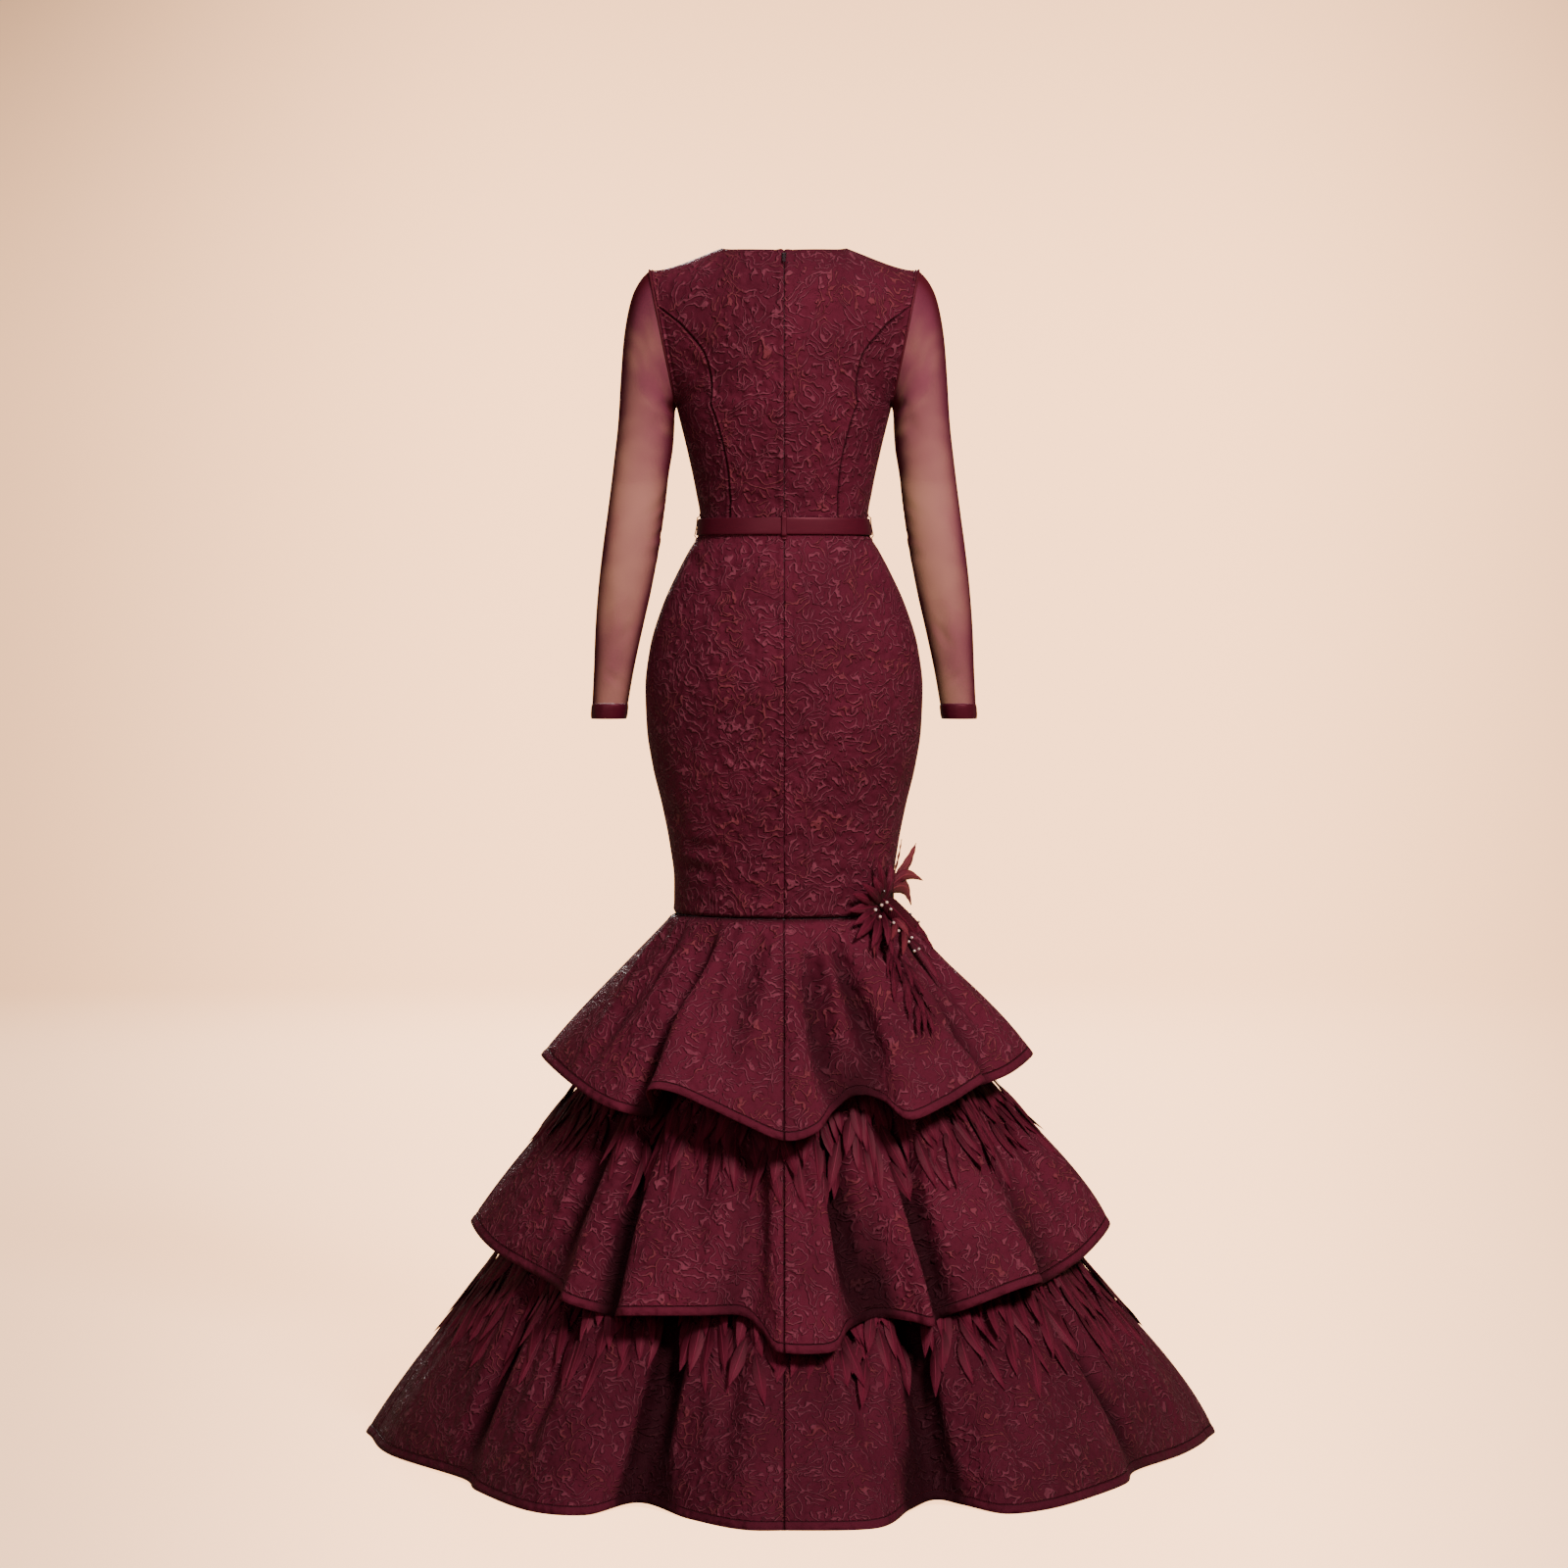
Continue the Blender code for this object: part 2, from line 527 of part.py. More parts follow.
def lay_wall(surface, levels, shares, left, right, thickness=CLOTH, stand=0.0, closed=False):
    """A bmesh of cloth: a grid laid on a surface from the left turn to the right one, set half a seam gap
    in from its borders, and given its thickness inwards along the surface's normals."""
    bm = bmesh.new()
    across = len(shares) - 1
    rows = len(levels) - 1
    bmesh.ops.create_grid(bm, x_segments=across, y_segments=rows, size=0.5)
    normals = bm.verts.layers.float_vector.new("normal")
    places = bm.verts.layers.float_vector.new("place")
    for vert in bm.verts:
        i = round((vert.co.x + 0.5) * across)
        j = round((vert.co.y + 0.5) * rows)
        turn = blend(edge_of(left, levels[j]), edge_of(right, levels[j]), shares[i])
        level = surface.trimmed(turn, levels[j])
        normal = normal_at(surface, turn, level)
        along, onward = slopes_at(surface, turn, level)
        place = surface.point(turn, level) + normal * stand
        if not closed:
            place += along * (SEAM_GAP / 2) * ((i == 0) - (i == across))
        upward = 1 if levels[-1] > levels[0] else -1
        place += onward * (SEAM_GAP / 2) * upward * ((j == 0) - (j == rows))
        vert[normals] = normal
        vert[places] = (i % across if closed else i, j, 0)
        vert.co = place
    if closed:
        bmesh.ops.remove_doubles(bm, verts=bm.verts, dist=SAME_PLACE)
    bmesh.ops.triangulate(bm, faces=bm.faces)
    outer = set(bm.verts)
    bmesh.ops.extrude_face_region(bm, geom=bm.faces[:], use_keep_orig=True)
    for vert in bm.verts:
        if vert not in outer:
            vert.co -= vert[normals] * thickness
            vert[places] = (*vert[places].xy, 1)
    return bm


def even(count):
    return [i / count for i in range(count + 1)]


def upper_level(step):
    """The level at a share of the rise from the underarm to the shoulder."""
    return UNDERARM_HEIGHT + step * UPPER_RISE


def build_bodice():
    levels = LOWER_LEVELS + tuple(upper_level(step) for step in UPPER_STEPS)
    for side in ("back", "front"):
        surface = Bodice(side)
        seam_turn = curves_of(PRINCESS_SEAMS, "level")[side]
        seam_top = upper_level(PRINCESS_TOP_STEP[side])

        def seam(level):
            """The princess seam's turn, and above its top the armhole's."""
            return seam_turn(level) if level <= seam_top else 90

        def left_seam(level):
            return -seam(level)

        side_levels = [level for level in levels if level <= seam_top]
        mirrored = [1 - share for share in reversed(CENTRE_SHARES)]
        if side == "back":
            piece("bodice_back_centre_R", lay_wall(surface, levels, CENTRE_SHARES, 0, seam), JACQUARD)
            piece("bodice_back_centre_L", lay_wall(surface, levels, mirrored, left_seam, 0), JACQUARD)
        else:
            whole = [share / 2 for share in mirrored] + [(1 + share) / 2 for share in CENTRE_SHARES[1:]]
            piece("bodice_front_centre", lay_wall(surface, levels, whole, left_seam, seam), JACQUARD)
        shares = even(SIDE_PANEL_COLUMNS)
        piece(f"bodice_{side}_side_R", lay_wall(surface, side_levels, shares, seam, 90), JACQUARD)
        piece(f"bodice_{side}_side_L", lay_wall(surface, side_levels, shares, -90, left_seam), JACQUARD)


def build_skirt():
    quarter = even(SKIRT_QUARTER_COLUMNS)
    half = even(2 * SKIRT_QUARTER_COLUMNS)
    piece("skirt_back_R", lay_wall(BODY, SKIRT_LEVELS, quarter, 0, 90), JACQUARD)
    piece("skirt_front", lay_wall(BODY, SKIRT_LEVELS, half, 90, 270), JACQUARD)
    piece("skirt_back_L", lay_wall(BODY, SKIRT_LEVELS, quarter, 270, 360), JACQUARD)
    levels = [ring.height for ring in UNDERSKIRT_RINGS]
    for name, left, right in (("back", -90, 90), ("front", 90, 270)):
        bm = lay_wall(UNDERSKIRT, levels, even(UNDERSKIRT_COLUMNS), left, right)
        piece(f"underskirt_{name}", bm, LINING)


def build_tiers():
    for number, flounce in enumerate(FLOUNCES, 1):
        tier = flounce.tier
        for name, left, right in (("back_R", 0, 90), ("front", 90, 270), ("back_L", -90, 0)):
            columns = tier.front_columns if name == "front" else tier.columns
            bm = lay_wall(flounce, tier.falls, even(columns), left, right)
            piece(f"tier_{number}_{name}", bm, JACQUARD)


class SleeveTube(Surface):
    """A sleeve, whose turns pass from the outer line of the arm towards the back, and whose levels count
    its rings from the armhole down. Side is 1 for the wearer's left arm and -1 for the right."""

    def __init__(self, side, rings):
        self.side = side
        self.facing = -side
        self.rings = rings

    def point(self, turn, level):
        first = min(max(int(level), 0), len(self.rings) - 2)
        values = [blend(a, b, level - first) for a, b in zip(self.rings[first], self.rings[first + 1])]
        outer, outer_height, inner, inner_height, middle, half_depth = values
        swing = math.cos(math.radians(turn))
        reach = blend((outer + inner) / 2, outer, swing)
        height = blend((outer_height + inner_height) / 2, outer_height, swing)
        return above_floor(self.side * reach, middle + half_depth * math.sin(math.radians(turn)), height)


def build_sleeves():
    for name, side in (("L", 1), ("R", -1)):
        shares = even(SLEEVE_COLUMNS)
        sleeve = lay_wall(
            SleeveTube(side, SLEEVE_RINGS), range(len(SLEEVE_RINGS)), shares, 0, 360, SHEER_CLOTH, closed=True
        )
        piece(f"sleeve_{name}", sleeve, SHEER)
        cuff = lay_wall(SleeveTube(side, CUFF_RINGS), range(len(CUFF_RINGS)), shares, 0, 360, closed=True)
        piece(f"cuff_{name}", cuff, SATIN)


def build_belt():
    levels = (BELT_BOTTOM, (BELT_BOTTOM + BELT_TOP) / 2, BELT_TOP)
    stand = BELT_STAND + BELT_THICKNESS
    piece("belt", lay_wall(BODY, levels, even(BELT_COLUMNS), 0, 360, BELT_THICKNESS, stand), SATIN)
    heights = [row.height for row in LOOP_ROWS]
    strap = Strap(BODY, Curve(heights, [row.stand for row in LOOP_ROWS]))
    for loop in BELT_LOOPS:
        half_turn = math.degrees(loop.half_width / LOOP_BODY_RADIUS)
        bm = lay_wall(strap, heights, even(1), loop.turn - half_turn, loop.turn + half_turn, LOOP_THICKNESS)
        piece(loop.name, bm, SATIN)


class Strap(Surface):
    """A strip over another surface that stands off it by a height that a Curve gives."""

    def __init__(self, surface, stands):
        self.surface = surface
        self.stands = stands
        self.facing = surface.facing

    def point(self, turn, level):
        return raised(self.surface, turn, level, self.stands(level))


def rim_faces(bm, axis, line):
    """The faces of a wall's rim along one line of its grid (axis 0 is a column, 1 is a row), by the
    place where each starts along that line."""
    places = bm.verts.layers.float_vector["place"]
    found = {}
    for face in bm.faces:
        if len(face.verts) == 4 and all(round(vert[places][axis]) == line for vert in face.verts):
            ends = sorted({round(vert[places][1 - axis]) for vert in face.verts})
            found[ends[0] if ends[1] - ends[0] == 1 else ends[1]] = face
    return found


def stretch(bm, face, corner):
    """Extrudes one face on its own and moves its corners to where a function puts them."""
    made = bmesh.ops.extrude_discrete_faces(bm, faces=[face])["faces"][0]
    for vert in made.verts:
        vert.co = corner(vert)
    return made


def grow_lock(bm, face, flounce, column, turns, reach):
    """A feather lock from one face of a trim's lower rim: it swells, then narrows to its tip."""
    places = bm.verts.layers.float_vector["place"]
    root = flounce.tier.falls[2]

    def section(fall, width, lift, thickness):
        def corner(vert):
            stand = FEATHER_STAND + lift + (0.0 if vert[places].z > 0.5 else thickness)
            first = raised(flounce, turns[column], fall, stand)
            second = raised(flounce, turns[column + 1], fall, stand)
            end = first if round(vert[places].x) == column else second
            return ((first + second) / 2).lerp(end, width)

        return corner

    swell = blend(root, reach, FEATHER_SWELL_SHARE)
    face = stretch(bm, face, section(swell, FEATHER_SWELL_WIDTH, FEATHER_SWELL_LIFT, FEATHER_THICKNESS))
    stretch(bm, face, section(reach, FEATHER_TIP_WIDTH, FEATHER_TIP_LIFT, FEATHER_TIP_THICKNESS))


def build_feather_trims():
    for name, flounce in (("feather_trim_upper", FLOUNCES[1]), ("feather_trim_lower", FLOUNCES[2])):
        tier = flounce.tier
        turns = [-90 + 90 * i / tier.columns for i in range(2 * tier.columns)]
        turns += [90 + 180 * i / tier.front_columns for i in range(tier.front_columns + 1)]
        shares = [(turn + 90) / 360 for turn in turns]
        stand = FEATHER_STAND + FEATHER_THICKNESS
        bm = lay_wall(flounce, tier.falls[1:3], shares, -90, 270, FEATHER_THICKNESS, stand, closed=True)
        for column, face in sorted(rim_faces(bm, 1, 1).items()):
            if column % 2 == 0:
                reach = FEATHER_REACHES[(column // 2) % len(FEATHER_REACHES)]
                grow_lock(bm, face, flounce, column, turns, reach)
        piece(name, bm, FEATHER)


def grow_petal(bm, face, tip, normal, width, arch):
    """A leaf-shaped petal from one face, widest half way, with a narrow tip."""
    root = face.calc_center_median()
    across = normal.cross(tip - root).normalized()

    def leaf(face, centre, half_width, half_thickness):
        made = bmesh.ops.extrude_discrete_faces(bm, faces=[face])["faces"][0]
        middle = made.calc_center_median()
        for vert in made.verts:
            offset = vert.co - middle
            side = math.copysign(half_width, offset.dot(across))
            layer = math.copysign(half_thickness, offset.dot(normal))
            vert.co = centre + across * side + normal * layer
        return made

    face = leaf(face, root.lerp(tip, 0.5) + normal * arch, width / 2, PETAL_THICKNESS / 2)
    leaf(face, tip, PETAL_TIP_WIDTH / 2, PETAL_TIP_THICKNESS / 2)


def cloth_at(turn, height, stand):
    """A point that stands off the skirt, or below the knee seam off the first flounce."""
    if height >= KNEE_HEIGHT:
        return raised(BODY, turn, height, stand)
    flounce = FLOUNCES[0]
    drop = flounce.point(turn, 0).z - flounce.point(turn, 1).z
    return raised(flounce, turn, (KNEE_HEIGHT - height) / drop, stand)


def build_corsage():
    level_normal = normal_at(BODY, CORSAGE_TURN, KNEE_HEIGHT)
    right, _ = slopes_at(BODY, CORSAGE_TURN, KNEE_HEIGHT)
    normal = (level_normal + Vector((0, 0, math.tan(math.radians(CORSAGE_TILT))))).normalized()
    up = normal.cross(right)
    centre = BODY.point(CORSAGE_TURN, KNEE_HEIGHT) + level_normal * CORSAGE_STAND
    place = Matrix((right, up, normal)).transposed().to_4x4()
    place.translation = centre
    bm = bmesh.new()
    bmesh.ops.create_cone(
        bm, cap_ends=True, segments=CORSAGE_SIDES, radius1=CORSAGE_RADIUS, radius2=CORSAGE_TOP_RADIUS,
        depth=CORSAGE_DEPTH, matrix=place,
    )

    def rim_side(place):
        """The number of the rim's side that faces a place, as a share of a turn from the wearer's right."""
        clock = math.atan2((place - centre).dot(up), (place - centre).dot(right)) % math.tau
        return clock / math.tau * CORSAGE_SIDES - 0.5

    rim = {}
    for face in bm.faces:
        if len(face.verts) == 4:
            rim[round(rim_side(face.calc_center_median()))] = face
    side = -2
    for petal in CORSAGE_PETALS:
        tip = cloth_at(petal.turn, petal.height, petal.stand)
        side = max(round(rim_side(tip)), side + 2)
        grow_petal(bm, rim[side], tip, normal, petal.width, PETAL_ARCH)
    piece("corsage", bm, FEATHER)


def build_corsage_trail():
    flounce = FLOUNCES[0]
    falls = [blend(TRAIL_TOP_FALL, TRAIL_BOTTOM_FALL, share) for share in even(TRAIL_STEPS)]
    left, right = TRAIL_TURN - TRAIL_HALF_TURN, TRAIL_TURN + TRAIL_HALF_TURN
    bm = lay_wall(flounce, falls, even(1), left, right, CLOTH, TRAIL_STAND)
    for column, outward in ((0, -1), (1, 1)):
        for row, face in sorted(rim_faces(bm, 0, column).items()):
            if row % 2:
                continue
            turn = TRAIL_TURN + outward * TRAIL_LEAF_TURN
            tip = raised(flounce, turn, falls[row] + TRAIL_LEAF_FALL, TRAIL_LEAF_STAND)
            normal = normal_at(flounce, TRAIL_TURN, falls[row])
            grow_petal(bm, face, tip, normal, TRAIL_LEAF_WIDTH, TRAIL_LEAF_ARCH)
    piece("corsage_trail", bm, FEATHER)


def solid_box(name, size, centre):
    bm = bmesh.new()
    bmesh.ops.create_cube(bm, size=1, matrix=Matrix.Translation(centre) @ Matrix.Diagonal((*size, 1)))
    return helper(name, bm)


def solid_rod(name, radius, length, centre):
    """A round bar along X."""
    bm = bmesh.new()
    turned = Matrix.Translation(centre) @ Matrix.Rotation(math.radians(90), 4, "Y")
    bmesh.ops.create_cone(
        bm, cap_ends=True, segments=ROD_SIDES, radius1=radius, radius2=radius, depth=length, matrix=turned
    )
    return helper(name, bm)


def helper(name, bm):
    made = piece(name, bm, METAL, smooth=False)
    GOWN.objects.unlink(made)
    CUTTERS.objects.link(made)
    made.hide_render = True
    made.display_type = "WIRE"
    return made


def shown(made):
    """Moves a helper among the gown's pieces."""
    CUTTERS.objects.unlink(made)
    GOWN.objects.link(made)
    made.hide_render = False
    made.display_type = "TEXTURED"
    return made


def combine(made, other, operation):
    step = made.modifiers.new(other.name, "BOOLEAN")
    step.operation = operation
    step.solver = "EXACT"
    step.object = other


def build_zip():
    back = Bodice("back")
    level = back.trimmed(0, ZIP_LEVEL)
    normal = normal_at(back, 0, level)
    frame = Matrix.Rotation(math.atan2(normal.z, normal.y), 4, "X")
    frame.translation = back.point(0, level)
    face = SLIDER_STAND + SLIDER_SIZE.y

    slider = shown(solid_box("zip_slider", SLIDER_SIZE, Vector((0, SLIDER_STAND + SLIDER_SIZE.y / 2, 0))))
    post_out = face + POST_SIZE.y / 2 - POST_SINK
    posts = []
    for name, side in (("L", 1), ("R", -1)):
        posts.append(solid_box(f"slider_post_{name}", POST_SIZE, Vector((side * POST_REACH, post_out, 0))))
    rod = solid_rod("slider_rod", ROD_RADIUS, 2 * POST_REACH, Vector((0, ROD_OUT, 0)))
    for joined in (*posts, rod):
        combine(slider, joined, "UNION")

    tab_size = Vector((EYE_LENGTH, TAB_THICKNESS, TAB_LENGTH))
    pull = shown(solid_box("zip_pull", tab_size, Vector((0, 0, -TAB_LENGTH / 2 - EYE_BORE))))
    for vert in pull.data.vertices:
        if vert.co.z < -TAB_LENGTH / 2:
            vert.co.x *= TAB_WIDE / EYE_LENGTH
    eye = solid_rod("pull_eye", EYE_RADIUS, EYE_LENGTH, Vector((0, 0, 0)))
    bore = solid_rod("pull_bore", EYE_BORE, 2 * EYE_LENGTH, Vector((0, 0, 0)))
    combine(pull, eye, "UNION")
    combine(pull, bore, "DIFFERENCE")

    for made in (slider, *posts, rod):
        made.matrix_world = frame
    for made in (pull, eye, bore):
        made.matrix_world = frame @ Matrix.Translation((0, ROD_OUT, 0))


for leftover in list(bpy.data.objects):
    bpy.data.objects.remove(leftover)

GOWN = collection("mermaid_gown")
CUTTERS = collection("cutters")
CUTTERS.hide_render = True

JACQUARD = material("jacquard", (0.115, 0.012, 0.028), 0.62)
SHEER = material("sheer_mesh", (0.170, 0.030, 0.048), 0.70)
SATIN = material("satin", (0.130, 0.014, 0.030), 0.38)
LINING = material("lining", (0.060, 0.006, 0.014), 0.75)
FEATHER = material("feather", (0.095, 0.010, 0.024), 0.58)
METAL = material("zip_metal", (0.075, 0.020, 0.028), 0.35, 0.8)

BODY = Tube(BODY_RINGS)
UNDERSKIRT = Tube(UNDERSKIRT_RINGS)
FLOUNCES = [Flounce(tier) for tier in TIERS]

build_bodice()
build_skirt()
build_tiers()
build_sleeves()
build_belt()
build_feather_trims()
build_corsage()
build_corsage_trail()
build_zip()
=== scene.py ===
"""Dresses the mermaid gown: embossed jacquard, sheer sleeves, satin, feathers, corsage and sewing.

Metres, +Z up. The front faces -Y and the zip at the centre back +Y. The origin lies between the shoulders.
Heights in the tables are measured up from the floor. A turn is an angle in degrees round the body, from the
centre back towards the wearer's right. A fall runs from 0 at a flounce's top to 1 at its hem.
"""

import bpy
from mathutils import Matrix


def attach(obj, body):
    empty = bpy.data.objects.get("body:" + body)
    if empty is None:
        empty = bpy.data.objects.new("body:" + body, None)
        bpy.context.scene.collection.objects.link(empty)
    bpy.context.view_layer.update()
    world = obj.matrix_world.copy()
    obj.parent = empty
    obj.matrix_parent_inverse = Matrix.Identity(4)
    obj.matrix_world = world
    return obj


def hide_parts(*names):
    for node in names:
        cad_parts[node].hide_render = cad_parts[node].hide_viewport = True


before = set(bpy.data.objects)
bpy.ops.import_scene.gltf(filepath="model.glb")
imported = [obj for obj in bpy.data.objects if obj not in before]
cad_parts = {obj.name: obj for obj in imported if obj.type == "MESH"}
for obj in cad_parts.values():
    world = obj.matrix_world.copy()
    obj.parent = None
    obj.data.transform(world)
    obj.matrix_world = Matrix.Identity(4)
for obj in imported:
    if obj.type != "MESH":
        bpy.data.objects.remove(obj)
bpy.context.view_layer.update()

import math
import random
from collections import namedtuple

import bmesh
import bpy
import numpy as np
from mathutils import Matrix, Vector

bl_info = {
    "name": "Mermaid Gown",
    "version": (1, 0, 0),
    "blender": (4, 5, 0),
    "location": "3D View > Sidebar > Gown",
    "description": "Builds the cloth, feathers, corsage and sewing of a mermaid gown",
    "category": "Object",
}

# --------------------------------------------------------------------------------- the gown's sizes

SHOULDER_HEIGHT = 1.470
UNDERARM_HEIGHT = 1.287
WAIST_HEIGHT = 1.137
KNEE_HEIGHT = 0.660
SECOND_SEAM_HEIGHT = 0.500
THIRD_SEAM_HEIGHT = 0.290
# Solids lie SEAM_GAP apart at a seam. The visible cloths lap over it, each by CLOTH_LAP past its border.
SEAM_GAP = 0.0003
CLOTH_LAP = 0.00005

UNDERARM_REACH = 0.1325
TIP_REACH = 0.1660
TIP_HEIGHT = 1.454
ARMHOLE_HALF_DEPTH = 0.050
ARMHOLE_WRAP = 0.62
ARMHOLE_WRAP_RISE = 0.3
NECK_REACH = 0.075
NECK_HEIGHT = 1.484
NECK_DEPTHS = {"back": 0.060, "front": 0.074}
RIDGE_HEIGHT = 1.500
SHOULDER_LEAN = 65
SHOULDER_ROLL = 5
ARMHOLE_PULL = 4
UPPER_RISE = 0.180
TOP_LEVEL = UNDERARM_HEIGHT + UPPER_RISE
NEARLY_TOP = 0.999
NECK_HALVINGS = 26


def rows_of(kind, *rows):
    return tuple(kind(*row) for row in rows)


Ring = namedtuple("Ring", "height half_width back front")
BODY_RINGS = rows_of(
    Ring,
    (0.660, 0.1360, 0.110, 0.106), (0.700, 0.1357, 0.110, 0.104), (0.744, 0.1410, 0.110, 0.102),
    (0.793, 0.1505, 0.113, 0.102), (0.841, 0.1620, 0.119, 0.103), (0.890, 0.1695, 0.125, 0.104),
    (0.939, 0.1713, 0.128, 0.104), (0.988, 0.1655, 0.123, 0.103), (1.037, 0.1510, 0.111, 0.101),
    (1.085, 0.1295, 0.095, 0.096), (1.110, 0.1160, 0.086, 0.092), (1.127, 0.1060, 0.081, 0.089),
    (1.148, 0.1030, 0.080, 0.087), (1.183, 0.1085, 0.085, 0.092), (1.232, 0.1190, 0.093, 0.110),
    (1.287, 0.1325, 0.099, 0.116),
)
Centre = namedtuple("Centre", "rise back front")
UPPER_CENTRE = rows_of(
    Centre,
    (0.00, 0.099, 0.116), (0.25, 0.099, 0.105), (0.50, 0.095, 0.082), (0.75, 0.094, 0.076),
    (1.00, 0.094, 0.074),
)
Princess = namedtuple("Princess", "level back front")
PRINCESS_SEAMS = rows_of(
    Princess,
    (WAIST_HEIGHT, 41.0, 40.0), (1.207, 37.5, 42.0), (1.252, 39.5, 45.0), (UNDERARM_HEIGHT, 43.0, 48.0),
    (UNDERARM_HEIGHT + 0.25 * UPPER_RISE, 54.0, 62.0), (UNDERARM_HEIGHT + 0.40 * UPPER_RISE, 63.0, 75.0),
    (UNDERARM_HEIGHT + 0.52 * UPPER_RISE, 72.0, 87.0), (UNDERARM_HEIGHT + 0.64 * UPPER_RISE, 87.0, 87.0),
)
PRINCESS_TOP_STEP = {"back": 0.64, "front": 0.52}
SleeveRing = namedtuple("SleeveRing", "outer outer_height inner inner_height middle half_depth")
SLEEVE_RINGS = rows_of(
    SleeveRing,
    (0.1666, 1.4538, 0.1333, 1.2868, 0.000, 0.0500), (0.1760, 1.4440, 0.1342, 1.2830, 0.000, 0.0505),
    (0.1860, 1.4268, 0.1350, 1.2780, 0.000, 0.0500), (0.1930, 1.4020, 0.1353, 1.2710, 0.000, 0.0490),
    (0.1985, 1.3660, 0.1356, 1.2620, 0.000, 0.0475), (0.2020, 1.3200, 0.1362, 1.2500, 0.000, 0.0460),
    (0.2050, 1.2700, 0.1375, 1.2340, 0.001, 0.0440), (0.2115, 1.2100, 0.1420, 1.2060, 0.002, 0.0420),
    (0.2185, 1.1550, 0.1490, 1.1550, 0.003, 0.0400), (0.2250, 1.1080, 0.1555, 1.1080, 0.001, 0.0395),
    (0.2305, 1.0600, 0.1645, 1.0600, -0.003, 0.0375), (0.2345, 1.0100, 0.1760, 1.0100, -0.010, 0.0335),
    (0.2368, 0.9600, 0.1870, 0.9600, -0.017, 0.0290), (0.2390, 0.9185, 0.1945, 0.9185, -0.022, 0.0260),
)
CUFF_RINGS = rows_of(
    SleeveRing,
    (0.2396, 0.9185, 0.1939, 0.9185, -0.022, 0.0266), (0.2408, 0.9000, 0.1961, 0.9000, -0.023, 0.0260),
)
BELT_BOTTOM = 1.127
BELT_TOP = 1.148
BELT_STAND = 0.0012
BELT_THICKNESS = 0.0020
Loop = namedtuple("Loop", "name turn half_width")
BELT_LOOPS = (
    Loop("belt_loop_R", 90, 0.0020),
    Loop("belt_loop_L", -90, 0.0020),
    Loop("belt_keeper", 0, 0.0026),
)
LOOP_BODY_RADIUS = 0.090
LoopRow = namedtuple("LoopRow", "height stand")
LOOP_ROWS = rows_of(
    LoopRow,
    (BELT_BOTTOM - 0.0065, 0.0018), (BELT_BOTTOM - 0.0040, 0.0018), (BELT_BOTTOM - 0.0010, 0.0054),
    (BELT_TOP + 0.0010, 0.0054), (BELT_TOP + 0.0040, 0.0018), (BELT_TOP + 0.0065, 0.0018),
)
UNDERSKIRT_RINGS = rows_of(
    Ring,
    (THIRD_SEAM_HEIGHT, 0.310, 0.222, 0.222), (0.400, 0.256, 0.190, 0.190),
    (SECOND_SEAM_HEIGHT, 0.205, 0.160, 0.160), (0.580, 0.1685, 0.134, 0.132),
    (0.6595, 0.1335, 0.1075, 0.1035),
)
Fold = namedtuple("Fold", "turn reach height")
TIER_1_FOLDS = rows_of(
    Fold,
    (-90, 0.302, 0.481), (-65, 0.285, 0.459), (-48, 0.282, 0.439), (-39, 0.252, 0.430), (-33, 0.298, 0.466),
    (-28, 0.283, 0.465), (-19, 0.280, 0.449), (-10, 0.279, 0.430), (0, 0.280, 0.411), (8, 0.2725, 0.419),
    (14, 0.2420, 0.440), (21, 0.233, 0.456), (28, 0.246, 0.452), (31.5, 0.2845, 0.431),
    (42, 0.2885, 0.4445), (51, 0.291, 0.460), (55.5, 0.294, 0.468), (62, 0.260, 0.455), (74, 0.288, 0.467),
    (90, 0.309, 0.484), (104, 0.262, 0.462), (118, 0.292, 0.449), (132, 0.283, 0.436), (143, 0.248, 0.446),
    (156, 0.284, 0.424), (168, 0.281, 0.414), (180, 0.280, 0.411), (194, 0.246, 0.440), (207, 0.286, 0.430),
    (221, 0.286, 0.440), (233, 0.255, 0.455), (251, 0.296, 0.466),
)
TIER_2_FOLDS = rows_of(
    Fold,
    (-90, 0.390, 0.272), (-74, 0.369, 0.2525), (-52, 0.345, 0.226), (-44, 0.374, 0.2185),
    (-37, 0.335, 0.201), (-31, 0.368, 0.210), (-17, 0.339, 0.2116), (-9, 0.319, 0.210),
    (-4.8, 0.331, 0.196), (-2.0, 0.360, 0.179), (0, 0.369, 0.176), (5, 0.3715, 0.175), (9.5, 0.366, 0.178),
    (13.4, 0.329, 0.195), (20.5, 0.3116, 0.203), (26.5, 0.330, 0.200), (29.5, 0.3546, 0.196),
    (34, 0.325, 0.198), (39, 0.353, 0.213), (46.6, 0.371, 0.228), (54.4, 0.378, 0.2335), (61, 0.345, 0.217),
    (77, 0.376, 0.241), (90, 0.4055, 0.272), (104, 0.355, 0.235), (117, 0.382, 0.232), (130, 0.365, 0.222),
    (140, 0.336, 0.205), (151, 0.368, 0.200), (163, 0.352, 0.196), (172, 0.333, 0.203), (180, 0.350, 0.190),
    (188, 0.368, 0.182), (199, 0.356, 0.190), (210, 0.336, 0.203), (222, 0.368, 0.212), (235, 0.374, 0.226),
    (246, 0.345, 0.235), (259, 0.384, 0.262),
)
